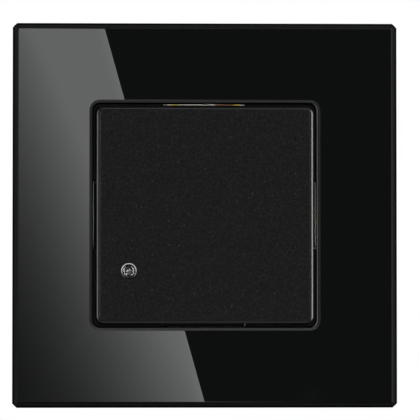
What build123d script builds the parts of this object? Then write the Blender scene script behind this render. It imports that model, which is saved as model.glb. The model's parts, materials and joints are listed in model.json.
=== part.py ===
from build123d import *
import os

# Flush-mounted motion sensor switch with a square black glass frame.
#
# All sizes are in millimetres. X runs to the right, Z runs up and -Y points out of the wall into the room.
# The wall surface is the plane Y = 0, and the origin is the centre of the wall box.
# A "height" is a distance in front of the wall surface. Behind the surface heights are negative.

# Glass frame: one pane of back-painted glass with a square opening
frame_side = 80.0
frame_front = 10.0
glass_thickness = 4.0
glass_corner_radius = 0.9
glass_bevel = 0.6
glass_back_break = 0.25
cover_gap = 0.7
opening_radius = 1.5
opening_chamfer = 0.55

# Adhesive tape ring between the glass and its carrier
tape_thickness = 0.4
tape_inset = 3.0
tape_width = 9.5

# Plastic carrier behind the glass, clipped to the mounting plate and notched round its tabs
carrier_inset = 1.5
carrier_corner_radius = 1.6
carrier_web = 1.6
carrier_wall = 1.6
carrier_wall_gap = 0.4
carrier_tab_clearance = 0.6
carrier_cover_gap = 0.15
carrier_rib = 1.0
carrier_rib_length = 6.5
carrier_rib_spread = 46.0
pry_notch_width = 9.0
pry_notch_height = 1.8
latch_width = 8.0
latch_thickness = 1.0
latch_catch = 0.7
latch_catch_height = 0.7
latch_catch_gap = 0.2
latch_clearance = 0.25

# Steel mounting plate: flat base, folded flanges and four lanced tabs that centre the module
plate_inset = 5.0
plate_thickness = 1.0
plate_corner_radius = 3.0
plate_ledge = 2.9
plate_opening_radius = 4.0
plate_recess = 0.3
plate_recess_clearance = 0.4
plate_flange_height = 3.4
plate_flange_length = 44.0
catch_notch_bottom = 1.0
tab_gap = 0.45
tab_height = 4.4
tab_width_upright = 16.0
tab_width_sideways = 13.0
tab_notch_margin = 1.0
box_screw_spacing = 60.0
box_slot_length = 7.0
box_slot_width = 3.6
corner_hole_spacing = 56.0
corner_hole_radius = 1.7

# Sensor cover: the flat matt plate in the middle
cover_side = 45.2
cover_front = 10.6
cover_face = 1.8
cover_wall = 1.2
cover_corner_radius = 1.6
cover_edge_radius = 0.45
cover_flange_gap = 0.3
cover_clearance = 0.3
lug_width = 7.0
lug_catch = 0.65
lug_height = 0.6
lug_above_flange = 0.9
lug_groove_clearance = 0.2

# Front half of the module, under the cover
module_tab_clearance = 0.5
module_flange_thickness = 1.6
module_corner_radius = 1.2
module_wall = 1.5
spigot_clearance = 0.2
spigot_wall = 1.4
deck_front = 5.6
deck_thickness = 1.4
deck_post_radius = 1.2
deck_post_inset = 1.8
deck_post_z_high = 9.0
deck_post_z_low = -3.5
deck_mark_depth = 0.2
deck_mark_width = 0.35
deck_mark_length = 0.9

# Rear half of the module, inside the wall box
body_chamfer = 9.6
body_depth = 24.0
body_part_gap = 0.9
body_wall = 1.6
body_floor = 1.8
body_edge_break = 1.0
body_rib_width = 3.0
body_rib_length = 1.5
body_rib_spread = 16.0
vent_length = 13.0
vent_width = 1.4
vent_pitch = 3.0
vent_count = 5
vent_row_z = 10.0
side_vent_length = 7.0
side_vent_count = 3
side_vent_depth = 15.5
access_radius = 2.5
access_collar_radius = 3.4
access_collar_height = 0.4

# Screws that hold the two halves together, with the mounting plate between them
joining_screw_radius = 1.1
joining_screw_length = 13.0
joining_head_radius = 1.9
joining_head_height = 1.4
joining_clearance = 0.06
joining_hole_depth = 11.0
boss_radius = 2.5
boss_inset = 3.0
cross_slot_length = 2.5
cross_slot_width = 0.6
cross_slot_depth = 0.7

# Control board with its chips and adjusters
control_board_front = 0.4
control_board_thickness = 1.2
control_board_gap = 0.8
control_board_chamfer = 6.0
chip_length = 8.0
chip_width = 6.0
chip_height = 1.4
chip_x = 1.0
chip_z = 3.5
chip_edge_break = 0.2

# Three adjusters: detection range, switch-on time and daylight threshold
dial_pitch = 9.0
dial_row_x = 3.0
dial_row_z = -9.5
dial_radius = 2.4
dial_front = 5.2
dial_turn = 270.0
dial_mark_count = 11
dial_seat_gap = 0.1
dial_stem_radius = 1.6
dial_slot_width = 0.7
dial_slot_depth = 0.6
dial_pointer_length = 1.1
dial_running_clearance = 0.08
dial_hole_clearance = 0.35
adjuster_side = 6.4
adjuster_height = 3.4
adjuster_recess = 2.0

# Clear daylight sensor that shows through the lower left corner of the cover
sensor_from_side = 6.8
sensor_from_bottom = 11.0
sensor_radius = 1.5
sensor_length = 5.3
sensor_stand_out = 0.3
sensor_dome_radius = 0.9
sensor_flange_radius = 1.8
sensor_flange_thickness = 1.0
sensor_hole_clearance = 0.17
sensor_deck_clearance = 0.3
sensor_lead_side = 0.5
sensor_lead_pitch = 1.6
sensor_lead_clearance = 0.1

# Microwave motion detector on the deck
radar_board_length = 29.0
radar_board_width = 18.0
radar_board_thickness = 1.0
radar_post_height = 0.4
radar_post_inset = 1.8
can_length = 13.0
can_width = 10.0
can_height = 2.0
can_clearance = 0.5
can_window_web = 1.0
can_corner_radius = 0.6
radar_pin_count = 4
radar_pin_inset = 2.2
radar_pin_edge = 1.8
radar_pin_row_x = 0.0
radar_pin_slot_margin = 0.4

# Pins and headers
pin_side = 0.64
pin_pitch = 2.54
pin_end = 0.8
pin_clearance = 0.12
header_width = 2.4
header_height = 2.4

# Power board and what it carries
board_spacing = 3.2
power_board_thickness = 1.6
power_board_gap = 0.9
power_board_chamfer = 9.0
boss_board_clearance = 0.4
stack_pin_count = 6
stack_pin_inset = 2.0
socket_floor = 0.4
spacer_x = 12.5
spacer_z = 12.0
spacer_radius = 1.8
relay_length = 18.5
relay_width = 15.0
relay_floor_gap = 1.4
relay_wall_gap = 2.95
relay_boss_gap = 0.4
relay_transformer_gap = 3.35
relay_edge_radius = 0.7
transformer_length = 14.0
transformer_width = 6.0
transformer_height = 13.0
transformer_leg = 2.2
transformer_winding_width = 11.4
transformer_winding_clearance = 0.15
transformer_wall_gap = 6.0
film_length = 13.0
film_width = 5.0
film_height = 11.0
film_x = 8.6
film_edge_radius = 0.5
reservoir_radius = 4.0
reservoir_height = 12.5
reservoir_x = -15.2
smoothing_radius = 3.15
smoothing_height = 11.0
smoothing_x = 16.0
capacitor_edge_radius = 0.8
varistor_radius = 3.6
varistor_thickness = 3.4
varistor_x = -6.4
varistor_stand = 1.2
varistor_edge_radius = 0.9
fuse_radius = 1.6
fuse_length = 8.0
fuse_x = -5.4
fuse_stand = 0.4
rectifier_length = 8.4
rectifier_width = 5.2
rectifier_height = 2.8
rectifier_x = 6.6
lead_radius = 0.4
lead_clearance = 0.1
lead_pitch = 5.0

# Rising-cage screw terminals
terminal_count = 3
terminal_pitch = 8.4
terminal_width = 8.0
terminal_floor_gap = 0.6
terminal_length = 10.8
terminal_front_wall = 2.6
terminal_window_clearance = 0.3
busbar_pocket = 0.8
busbar_fit = 0.1
wire_bore_radius = 1.4
wire_bore_chamfer = 0.5
cage_width = 6.0
cage_length = 5.6
cage_wall = 1.0
cage_thread_wall = 1.8
cage_clearance = 0.2
wire_space = 2.8
cage_travel = 2.25
busbar_width = 3.6
busbar_thickness = 1.0
busbar_pin_radius = 0.45
clamp_screw_radius = 1.45
clamp_screw_clearance = 0.05
clamp_head_radius = 2.1
clamp_head_height = 1.6
clamp_head_clearance = 0.2
clamp_web = 0.8
clamp_slot_width = 0.7
clamp_slot_depth = 0.8

# Heights and half widths that follow from the sizes above
opening_side = cover_side + 2 * cover_gap
glass_back = frame_front - glass_thickness
carrier_front = glass_back - tape_thickness
carrier_web_back = carrier_front - carrier_web
carrier_side = frame_side - 2 * carrier_inset
plate_side = frame_side - 2 * plate_inset
tab_inner = cover_side / 2 + tab_gap
plate_opening = 2 * (tab_inner - plate_ledge)
tab_outer = tab_inner + plate_thickness
carrier_opening = cover_side + 2 * carrier_cover_gap
cover_back = plate_thickness + module_flange_thickness + cover_flange_gap
cover_inner_side = cover_side - 2 * cover_wall
module_flange_side = 2 * (tab_inner - module_tab_clearance)
module_side = cover_inner_side - 2 * cover_clearance
module_flange_front = plate_thickness + module_flange_thickness
spigot_side = plate_opening - 2 * spigot_clearance
spigot_inner_side = spigot_side - 2 * spigot_wall
seam = plate_recess
deck_back = deck_front - deck_thickness
lug_bottom = module_flange_front + lug_above_flange
control_board_back = control_board_front - control_board_thickness
control_board_side = spigot_inner_side - 2 * control_board_gap
deck_post_x = control_board_side / 2 - deck_post_inset
stack_pin_row_z = stack_pin_inset - control_board_side / 2
radar_pin_row_z = control_board_side / 2 - radar_pin_inset
radar_pin_slot_width = header_width + 2 * radar_pin_slot_margin
radar_board_z = radar_pin_row_z + radar_pin_edge - radar_board_width / 2
can_z = radar_pin_row_z - radar_pin_slot_width / 2 - can_window_web - can_clearance - can_width / 2
power_board_front = control_board_back - board_spacing
power_board_back = power_board_front - power_board_thickness
body_inner_side = (
    relay_wall_gap + relay_length + relay_transformer_gap + transformer_length + transformer_wall_gap
)
body_side = body_inner_side + 2 * body_wall
power_board_side = body_inner_side - 2 * power_board_gap
body_floor_front = body_floor - body_depth
joining_screw_spacing = spigot_side - 2 * boss_inset
boss_edge_z = joining_screw_spacing / 2 - boss_radius
radar_board_back = deck_front + radar_post_height
radar_board_front = radar_board_back + radar_board_thickness
adjuster_front = control_board_front + adjuster_height
dial_names = ("range", "time", "daylight")
dial_xs = [dial_row_x + step * dial_pitch for step in (-1, 0, 1)]
sensor_x = sensor_from_side - cover_side / 2
sensor_z = sensor_from_bottom - cover_side / 2
sensor_top = cover_front + sensor_stand_out
sensor_back = sensor_top - sensor_length
terminal_xs = [(index - (terminal_count - 1) / 2) * terminal_pitch for index in range(terminal_count)]
terminal_back = body_floor_front + terminal_floor_gap
terminal_height = power_board_back - terminal_back
terminal_bottom_z = -body_side / 2
terminal_top_z = terminal_bottom_z + terminal_length
relay_x = relay_wall_gap + relay_length / 2 - body_inner_side / 2
relay_z = boss_edge_z - relay_boss_gap - relay_width / 2
relay_height = power_board_back - body_floor_front - relay_floor_gap
relay_bottom_z = relay_z - relay_width / 2
transformer_x = body_inner_side / 2 - transformer_wall_gap - transformer_length / 2
transformer_z = boss_edge_z - body_part_gap - transformer_winding_width / 2
film_z = transformer_z - (transformer_winding_width + film_width) / 2 - body_part_gap
reservoir_z = relay_bottom_z - body_part_gap - reservoir_radius
varistor_z = relay_bottom_z - body_part_gap - varistor_thickness / 2
smoothing_z = terminal_top_z + body_part_gap + smoothing_radius
fuse_z = terminal_top_z + body_part_gap + fuse_radius
rectifier_z = terminal_top_z + body_part_gap + rectifier_width / 2
cage_front = power_board_back - cage_clearance
wire_front = cage_front - cage_wall
busbar_front = wire_front - wire_space
busbar_back = busbar_front - busbar_thickness
cage_bottom_z = terminal_bottom_z + terminal_front_wall + cage_clearance
bar_start_z = terminal_bottom_z + terminal_front_wall - busbar_pocket
clamp_axis_z = cage_bottom_z + cage_length / 2
cage_inner_back = busbar_back - cage_clearance
cage_back = cage_inner_back - cage_thread_wall
clamp_web_front = cage_back - cage_travel - cage_clearance
clamp_head_front = clamp_web_front - clamp_web - clamp_screw_clearance

os.makedirs("parts", exist_ok=True)


def level(height):
    """The plane at a height in front of the wall, with x to the right, y up and its normal to the room."""
    return Plane.XZ.offset(height)


def save(builder, name):
    """Labels a finished piece and writes it under its own name."""
    builder.part.label = name
    export_step(builder.part, f"parts/{name}.step")


def front_face(builder):
    """The face of a piece nearest the room."""
    return builder.faces().sort_by(Axis.Y)[0]


def back_face(builder):
    """The face of a piece furthest from the room."""
    return builder.faces().sort_by(Axis.Y)[-1]


# Glass frame
with BuildPart() as glass_frame:
    with BuildSketch(level(glass_back)):
        RectangleRounded(frame_side, frame_side, glass_corner_radius)
        RectangleRounded(opening_side, opening_side, opening_radius, mode=Mode.SUBTRACT)
    extrude(amount=glass_thickness)
    chamfer(front_face(glass_frame).outer_wire().edges(), glass_bevel)
    chamfer(front_face(glass_frame).inner_wires()[0].edges(), opening_chamfer)
    chamfer(back_face(glass_frame).outer_wire().edges(), glass_back_break)
save(glass_frame, "glass_frame")

# Adhesive tape ring
with BuildPart() as glass_tape:
    tape_side = frame_side - 2 * tape_inset
    tape_inner_side = tape_side - 2 * tape_width
    with BuildSketch(level(carrier_front)):
        RectangleRounded(tape_side, tape_side, carrier_corner_radius)
        RectangleRounded(tape_inner_side, tape_inner_side, carrier_corner_radius, mode=Mode.SUBTRACT)
    extrude(amount=tape_thickness)
save(glass_tape, "glass_tape")

# Frame carrier: web behind the glass, skirt down to the wall, ribs and four latches
with BuildPart() as frame_carrier:
    skirt_height = carrier_front - carrier_wall_gap
    skirt_inner_side = carrier_side - 2 * carrier_wall
    latch_inner = plate_side / 2 + latch_clearance
    catch_bottom = catch_notch_bottom + latch_catch_gap
    with BuildSketch(level(carrier_wall_gap)):
        RectangleRounded(carrier_side, carrier_side, carrier_corner_radius)
    extrude(amount=skirt_height)
    with BuildSketch(level(carrier_wall_gap)):
        Rectangle(skirt_inner_side, skirt_inner_side)
    extrude(amount=skirt_height - carrier_web, mode=Mode.SUBTRACT)
    notch_reach = 2 * (tab_outer + carrier_tab_clearance)
    with BuildSketch(level(carrier_web_back)):
        RectangleRounded(carrier_opening, carrier_opening, cover_corner_radius + carrier_cover_gap)
        Rectangle(notch_reach, tab_width_sideways + 2 * carrier_tab_clearance)
        Rectangle(tab_width_upright + 2 * carrier_tab_clearance, notch_reach)
    extrude(amount=carrier_web, mode=Mode.SUBTRACT)
    rib_back = plate_flange_height + latch_clearance
    rib_middle = (skirt_inner_side - carrier_rib_length) / 2
    with BuildSketch(level(rib_back)):
        for side in (-1, 1):
            with Locations((0, side * carrier_rib_spread / 2)):
                with GridLocations(2 * rib_middle, 0, 2, 1):
                    Rectangle(carrier_rib_length, carrier_rib)
            with Locations((side * carrier_rib_spread / 2, 0)):
                with GridLocations(0, 2 * rib_middle, 1, 2):
                    Rectangle(carrier_rib, carrier_rib_length)
    extrude(amount=carrier_web_back - rib_back)
    with BuildSketch(level(carrier_wall_gap)):
        with PolarLocations(latch_inner + latch_thickness / 2, 4):
            Rectangle(latch_thickness, latch_width)
    extrude(amount=carrier_web_back - carrier_wall_gap)
    with BuildSketch(level(catch_bottom)):
        with PolarLocations(latch_inner - (latch_catch - latch_thickness) / 2, 4):
            Rectangle(latch_catch + latch_thickness, latch_width)
    extrude(amount=latch_catch_height)
    with BuildSketch(level(carrier_wall_gap)):
        with Locations((0, -(carrier_side - carrier_wall) / 2)):
            with GridLocations(carrier_rib_spread - pry_notch_width, 0, 2, 1):
                Rectangle(pry_notch_width, 2 * carrier_wall)
    extrude(amount=pry_notch_height, mode=Mode.SUBTRACT)
save(frame_carrier, "frame_carrier")

# Mounting plate
with BuildPart() as mounting_plate:
    catch_notch_width = latch_width + 2 * latch_clearance
    with BuildSketch(level(0)):
        RectangleRounded(plate_side, plate_side, plate_corner_radius)
        RectangleRounded(plate_opening, plate_opening, plate_opening_radius, mode=Mode.SUBTRACT)
        Rectangle(2 * tab_inner, tab_width_sideways + tab_notch_margin, mode=Mode.SUBTRACT)
        Rectangle(tab_width_upright + tab_notch_margin, 2 * tab_inner, mode=Mode.SUBTRACT)
    extrude(amount=plate_thickness)
    with BuildSketch(level(0)):
        recess_side = body_side + 2 * plate_recess_clearance
        Rectangle(recess_side, recess_side)
    extrude(amount=plate_recess, mode=Mode.SUBTRACT)
    with BuildSketch(level(0)):
        with PolarLocations((plate_side - plate_thickness) / 2, 4):
            Rectangle(plate_thickness, plate_flange_length)
    extrude(amount=plate_flange_height)
    with BuildSketch(level(catch_notch_bottom)):
        with PolarLocations((plate_side - plate_thickness) / 2, 4):
            Rectangle(2 * plate_thickness, catch_notch_width)
    extrude(amount=plate_flange_height - catch_notch_bottom, mode=Mode.SUBTRACT)
    with BuildSketch(level(seam)):
        with GridLocations(tab_inner + tab_outer, 0, 2, 1):
            Rectangle(plate_thickness, tab_width_sideways)
        with GridLocations(0, tab_inner + tab_outer, 1, 2):
            Rectangle(tab_width_upright, plate_thickness)
    extrude(amount=tab_height - seam)
    with BuildSketch(level(0)):
        with GridLocations(box_screw_spacing, 0, 2, 1):
            SlotOverall(box_slot_length, box_slot_width)
        with GridLocations(0, box_screw_spacing, 1, 2):
            SlotOverall(box_slot_length, box_slot_width, rotation=90)
        with GridLocations(corner_hole_spacing, corner_hole_spacing, 2, 2):
            Circle(corner_hole_radius)
    extrude(amount=plate_flange_height, mode=Mode.SUBTRACT)
save(mounting_plate, "mounting_plate")

# Sensor cover: flat face, skirt and four catching lugs
with BuildPart() as sensor_cover:
    with BuildSketch(level(cover_back)):
        RectangleRounded(cover_side, cover_side, cover_corner_radius)
    extrude(amount=cover_front - cover_back)
    fillet(front_face(sensor_cover).edges(), cover_edge_radius)
    with BuildSketch(level(cover_back)):
        RectangleRounded(cover_inner_side, cover_inner_side, cover_corner_radius - cover_wall / 2)
    extrude(amount=cover_front - cover_face - cover_back, mode=Mode.SUBTRACT)
    with BuildSketch(level(cover_front)):
        with Locations((sensor_x, sensor_z)):
            Circle(sensor_radius + sensor_hole_clearance)
    extrude(amount=-cover_face, mode=Mode.SUBTRACT)
    with BuildSketch(level(lug_bottom)):
        with PolarLocations((cover_inner_side - lug_catch) / 2, 4):
            Rectangle(lug_catch, lug_width)
    extrude(amount=lug_height)
save(sensor_cover, "sensor_cover")

# Front half of the module
with BuildPart() as module_front:
    with BuildSketch(level(plate_thickness)):
        RectangleRounded(module_flange_side, module_flange_side, module_corner_radius)
    extrude(amount=module_flange_thickness)
    with BuildSketch(level(module_flange_front)):
        RectangleRounded(module_side, module_side, module_corner_radius)
    extrude(amount=deck_front - module_flange_front)
    with BuildSketch(level(seam)):
        RectangleRounded(spigot_side, spigot_side, plate_opening_radius)
    extrude(amount=plate_thickness - seam)
    with BuildSketch(level(seam)):
        RectangleRounded(spigot_inner_side, spigot_inner_side, module_corner_radius)
    extrude(amount=deck_back - seam, mode=Mode.SUBTRACT)
    with BuildSketch(level(module_flange_front)):
        Rectangle(module_side - 2 * module_wall, module_side - 2 * module_wall)
    extrude(amount=deck_back - module_flange_front, mode=Mode.SUBTRACT)
    with BuildSketch(level(seam)):
        with GridLocations(joining_screw_spacing, joining_screw_spacing, 2, 2):
            Circle(boss_radius)
    extrude(amount=deck_front - seam)
    with BuildSketch(level(control_board_front)):
        for post_z in (deck_post_z_low, deck_post_z_high):
            with Locations((0, post_z)):
                with GridLocations(2 * deck_post_x, 0, 2, 1):
                    Circle(deck_post_radius)
    extrude(amount=deck_back - control_board_front)
    with BuildSketch(level(seam)):
        with GridLocations(joining_screw_spacing, joining_screw_spacing, 2, 2):
            Circle(joining_screw_radius + joining_clearance)
    extrude(amount=deck_front - seam, mode=Mode.SUBTRACT)
    with BuildSketch(level(deck_front)):
        with GridLocations(joining_screw_spacing, joining_screw_spacing, 2, 2):
            Circle(joining_head_radius + joining_clearance)
    extrude(amount=-joining_head_height, mode=Mode.SUBTRACT)
    with BuildSketch(level(deck_front)):
        for dial_x in dial_xs:
            with Locations((dial_x, dial_row_z)):
                Circle(dial_radius + dial_hole_clearance)
        with Locations((sensor_x, sensor_z)):
            Circle(sensor_flange_radius + sensor_deck_clearance)
        with Locations((0, can_z)):
            Rectangle(can_length + 2 * can_clearance, can_width + 2 * can_clearance)
        with Locations((radar_pin_row_x, radar_pin_row_z)):
            Rectangle(radar_pin_count * pin_pitch + 2 * radar_pin_slot_margin, radar_pin_slot_width)
    extrude(amount=-deck_thickness, mode=Mode.SUBTRACT)
    with BuildSketch(level(deck_front)):
        mark_ring = dial_radius + dial_hole_clearance + deck_mark_length
        for dial_x in dial_xs:
            with Locations((dial_x, dial_row_z)):
                with PolarLocations(
                    mark_ring, dial_mark_count, start_angle=90 - dial_turn / 2, angular_range=dial_turn,
                    endpoint=True,
                ):
                    Rectangle(deck_mark_length, deck_mark_width)
    extrude(amount=-deck_mark_depth, mode=Mode.SUBTRACT)
    with BuildSketch(level(deck_front)):
        with Locations((0, radar_board_z)):
            with GridLocations(radar_board_length - 2 * radar_post_inset, radar_board_width / 2, 2, 2):
                Circle(deck_post_radius)
    extrude(amount=radar_post_height)
    groove_bottom = lug_bottom - lug_groove_clearance
    groove_depth = lug_catch - cover_clearance + lug_groove_clearance
    with BuildSketch(level(groove_bottom)):
        with PolarLocations((module_side - groove_depth) / 2, 4):
            Rectangle(groove_depth, lug_width + 2 * lug_groove_clearance)
    extrude(amount=deck_front - groove_bottom, mode=Mode.SUBTRACT)
save(module_front, "module_front")

# Rear half of the module, an eight-sided cup that goes into the wall box
with BuildPart() as module_rear:
    terminal_row_width = (terminal_count - 1) * terminal_pitch + terminal_width
    with BuildSketch(level(-body_depth)) as body_outline:
        Rectangle(body_side, body_side)
        chamfer(body_outline.vertices(), body_chamfer)
    extrude(amount=body_depth + seam)
    chamfer(back_face(module_rear).outer_wire().edges(), body_edge_break)
    with BuildSketch(level(-body_depth)):
        for terminal_x in terminal_xs:
            with Locations((terminal_x, clamp_axis_z)):
                Circle(access_collar_radius)
    extrude(amount=-access_collar_height)
    with BuildSketch(level(body_floor_front)) as cavity_outline:
        Rectangle(body_side, body_side)
        chamfer(cavity_outline.vertices(), body_chamfer)
        offset(amount=-body_wall, kind=Kind.INTERSECTION)
    extrude(amount=seam - body_floor_front, mode=Mode.SUBTRACT)
    with BuildSketch(level(body_floor_front)):
        with GridLocations(joining_screw_spacing, joining_screw_spacing, 2, 2):
            Circle(boss_radius)
    extrude(amount=seam - body_floor_front)
    with BuildSketch(level(body_floor_front)):
        rib_ring = body_inner_side - body_rib_length
        for rib_z in (-body_rib_spread / 2, body_rib_spread / 2):
            with Locations((0, rib_z)):
                with GridLocations(rib_ring, 0, 2, 1):
                    Rectangle(body_rib_length, body_rib_width)
        with Locations((0, rib_ring / 2)):
            with GridLocations(body_rib_spread, 0, 2, 1):
                Rectangle(body_rib_width, body_rib_length)
    extrude(amount=power_board_back - body_floor_front)
    with BuildSketch(level(seam)):
        with GridLocations(joining_screw_spacing, joining_screw_spacing, 2, 2):
            Circle(joining_screw_radius + joining_clearance)
    extrude(amount=-joining_hole_depth, mode=Mode.SUBTRACT)
    with BuildSketch(level(terminal_back - terminal_window_clearance)):
        with Locations((0, terminal_bottom_z)):
            Rectangle(terminal_row_width + 2 * terminal_window_clearance, 2 * body_wall)
    extrude(amount=power_board_back - terminal_back + terminal_window_clearance, mode=Mode.SUBTRACT)
    with BuildSketch(level(body_floor_front)):
        for terminal_x in terminal_xs:
            with Locations((terminal_x, clamp_axis_z)):
                Circle(access_radius)
        with Locations((0, vent_row_z)):
            with GridLocations(0, vent_pitch, 1, vent_count):
                SlotOverall(vent_length, vent_width)
    extrude(amount=-(body_floor + access_collar_height), mode=Mode.SUBTRACT)
    with BuildSketch(Plane.YZ):
        with Locations((side_vent_depth, 0)):
            with GridLocations(vent_pitch, 0, side_vent_count, 1):
                SlotOverall(side_vent_length, vent_width, rotation=90)
    extrude(amount=body_side, both=True, mode=Mode.SUBTRACT)
save(module_rear, "module_rear")

# Four screws that draw the two halves together
with BuildPart() as joining_screws:
    head_back = deck_front - joining_head_height
    with BuildSketch(level(head_back)):
        with GridLocations(joining_screw_spacing, joining_screw_spacing, 2, 2):
            Circle(joining_head_radius)
    extrude(amount=joining_head_height)
    with BuildSketch(level(head_back)):
        with GridLocations(joining_screw_spacing, joining_screw_spacing, 2, 2):
            Circle(joining_screw_radius)
    extrude(amount=-joining_screw_length)
    with BuildSketch(level(deck_front)):
        with GridLocations(joining_screw_spacing, joining_screw_spacing, 2, 2):
            Rectangle(cross_slot_length, cross_slot_width)
            Rectangle(cross_slot_width, cross_slot_length)
    extrude(amount=-cross_slot_depth, mode=Mode.SUBTRACT)
save(joining_screws, "joining_screws")

# Control board
with BuildPart() as control_board:
    with BuildSketch(level(control_board_back)) as control_outline:
        Rectangle(control_board_side, control_board_side)
        chamfer(control_outline.vertices(), control_board_chamfer)
        for row_x, row_z, count in (
            (0, stack_pin_row_z, stack_pin_count), (radar_pin_row_x, radar_pin_row_z, radar_pin_count),
        ):
            with Locations((row_x, row_z)):
                with GridLocations(pin_pitch, 0, count, 1):
                    Rectangle(pin_side + 2 * pin_clearance, pin_side + 2 * pin_clearance, mode=Mode.SUBTRACT)
        with Locations((sensor_x, sensor_z)):
            with GridLocations(sensor_lead_pitch, 0, 2, 1):
                hole_side = sensor_lead_side + 2 * sensor_lead_clearance
                Rectangle(hole_side, hole_side, mode=Mode.SUBTRACT)
    extrude(amount=control_board_thickness)
save(control_board, "control_board")

# Control chip
with BuildPart() as control_chip:
    with BuildSketch(level(control_board_front)):
        with Locations((chip_x, chip_z)):
            Rectangle(chip_length, chip_width)
    extrude(amount=chip_height)
    chamfer(front_face(control_chip).edges(), chip_edge_break)
save(control_chip, "control_chip")

# Adjuster bodies, each with a round recess for its dial
for adjuster_name, dial_x in zip(dial_names, dial_xs):
    with BuildPart() as adjuster:
        with BuildSketch(level(control_board_front)):
            with Locations((dial_x, dial_row_z)):
                Rectangle(adjuster_side, adjuster_side)
        extrude(amount=adjuster_height)
        with BuildSketch(level(adjuster_front)):
            with Locations((dial_x, dial_row_z)):
                Circle(dial_stem_radius + dial_running_clearance)
        extrude(amount=-adjuster_recess, mode=Mode.SUBTRACT)
    save(adjuster, f"{adjuster_name}_adjuster")

# Dials, each with a stem in its adjuster and a screwdriver slot with a pointer
for dial_name, dial_x in zip(dial_names, dial_xs):
    with BuildPart() as dial:
        with BuildSketch(level(adjuster_front + dial_seat_gap)):
            with Locations((dial_x, dial_row_z)):
                Circle(dial_radius)
        extrude(amount=dial_front - adjuster_front - dial_seat_gap)
        with BuildSketch(level(adjuster_front + dial_seat_gap)):
            with Locations((dial_x, dial_row_z)):
                Circle(dial_stem_radius)
        extrude(amount=-(adjuster_recess + dial_seat_gap - dial_running_clearance))
        with BuildSketch(level(dial_front)):
            with Locations((dial_x, dial_row_z)):
                Rectangle(dial_slot_width, 2 * dial_radius - 2 * dial_slot_width)
            with Locations((dial_x, dial_row_z + dial_radius - dial_slot_width - dial_pointer_length)):
                pointer_tip = (0, dial_pointer_length)
                Polygon((-dial_slot_width, 0), (dial_slot_width, 0), pointer_tip, align=None)
        extrude(amount=-dial_slot_depth, mode=Mode.SUBTRACT)
    save(dial, f"{dial_name}_dial")

# Daylight sensor: clear body with a domed top, a flange and two leads
with BuildPart() as daylight_sensor:
    with BuildSketch(level(sensor_back)):
        with Locations((sensor_x, sensor_z)):
            Circle(sensor_flange_radius)
    extrude(amount=sensor_flange_thickness)
    with BuildSketch(level(sensor_back)):
        with Locations((sensor_x, sensor_z)):
            Circle(sensor_radius)
    extrude(amount=sensor_length)
    fillet(front_face(daylight_sensor).edges(), sensor_dome_radius)
    with BuildSketch(level(sensor_back)):
        with Locations((sensor_x, sensor_z)):
            with GridLocations(sensor_lead_pitch, 0, 2, 1):
                Rectangle(sensor_lead_side, sensor_lead_side)
    extrude(amount=-(sensor_back - control_board_back + pin_end))
save(daylight_sensor, "daylight_sensor")

# Spacer tube that holds the daylight sensor off the control board
with BuildPart() as sensor_spacer:
    with BuildSketch(level(control_board_front)):
        with Locations((sensor_x, sensor_z)):
            Circle(sensor_flange_radius)
            with GridLocations(sensor_lead_pitch, 0, 2, 1):
                hole_side = sensor_lead_side + 2 * sensor_lead_clearance
                Rectangle(hole_side, hole_side, mode=Mode.SUBTRACT)
    extrude(amount=sensor_back - control_board_front)
save(sensor_spacer, "sensor_spacer")

# Microwave detector board and the screening can behind it
with BuildPart() as radar_board:
    with BuildSketch(level(radar_board_back)):
        with Locations((0, radar_board_z)):
            Rectangle(radar_board_length, radar_board_width)
        with Locations((radar_pin_row_x, radar_pin_row_z)):
            with GridLocations(pin_pitch, 0, radar_pin_count, 1):
                Rectangle(pin_side + 2 * pin_clearance, pin_side + 2 * pin_clearance, mode=Mode.SUBTRACT)
    extrude(amount=radar_board_thickness)
save(radar_board, "radar_board")

with BuildPart() as radar_can:
    with BuildSketch(level(radar_board_back)):
        with Locations((0, can_z)):
            RectangleRounded(can_length, can_width, can_corner_radius)
    extrude(amount=-can_height)
save(radar_can, "radar_can")

# Pin header from the control board to the radar board
with BuildPart() as radar_header:
    with BuildSketch(level(control_board_front)):
        with Locations((radar_pin_row_x, radar_pin_row_z)):
            Rectangle(radar_pin_count * pin_pitch, header_width)
            with GridLocations(pin_pitch, 0, radar_pin_count, 1):
                Rectangle(pin_side + 2 * pin_clearance, pin_side + 2 * pin_clearance, mode=Mode.SUBTRACT)
    extrude(amount=header_height)
save(radar_header, "radar_header")

with BuildPart() as radar_pins:
    with BuildSketch(level(control_board_back - pin_end)):
        with Locations((radar_pin_row_x, radar_pin_row_z)):
            with GridLocations(pin_pitch, 0, radar_pin_count, 1):
                Rectangle(pin_side, pin_side)
    extrude(amount=radar_board_front + pin_end - (control_board_back - pin_end))
save(radar_pins, "radar_pins")

# Socket on the power board that carries the control board, and its pins
with BuildPart() as stack_socket:
    with BuildSketch(level(power_board_front)):
        with Locations((0, stack_pin_row_z)):
            Rectangle(stack_pin_count * pin_pitch, header_width)
    extrude(amount=board_spacing)
    with BuildSketch(level(power_board_front + socket_floor)):
        with Locations((0, stack_pin_row_z)):
            with GridLocations(pin_pitch, 0, stack_pin_count, 1):
                Rectangle(pin_side + 2 * pin_clearance, pin_side + 2 * pin_clearance)
    extrude(amount=board_spacing - socket_floor, mode=Mode.SUBTRACT)
save(stack_socket, "stack_socket")

with BuildPart() as stack_pins:
    with BuildSketch(level(power_board_front + socket_floor)):
        with Locations((0, stack_pin_row_z)):
            with GridLocations(pin_pitch, 0, stack_pin_count, 1):
                Rectangle(pin_side, pin_side)
    extrude(amount=control_board_front + pin_end - power_board_front - socket_floor)
save(stack_pins, "stack_pins")

# Two nylon spacers between the boards
with BuildPart() as board_spacers:
    with BuildSketch(level(power_board_front)):
        with Locations((0, spacer_z)):
            with GridLocations(2 * spacer_x, 0, 2, 1):
                RegularPolygon(spacer_radius, 6)
    extrude(amount=board_spacing)
save(board_spacers, "board_spacers")

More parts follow.
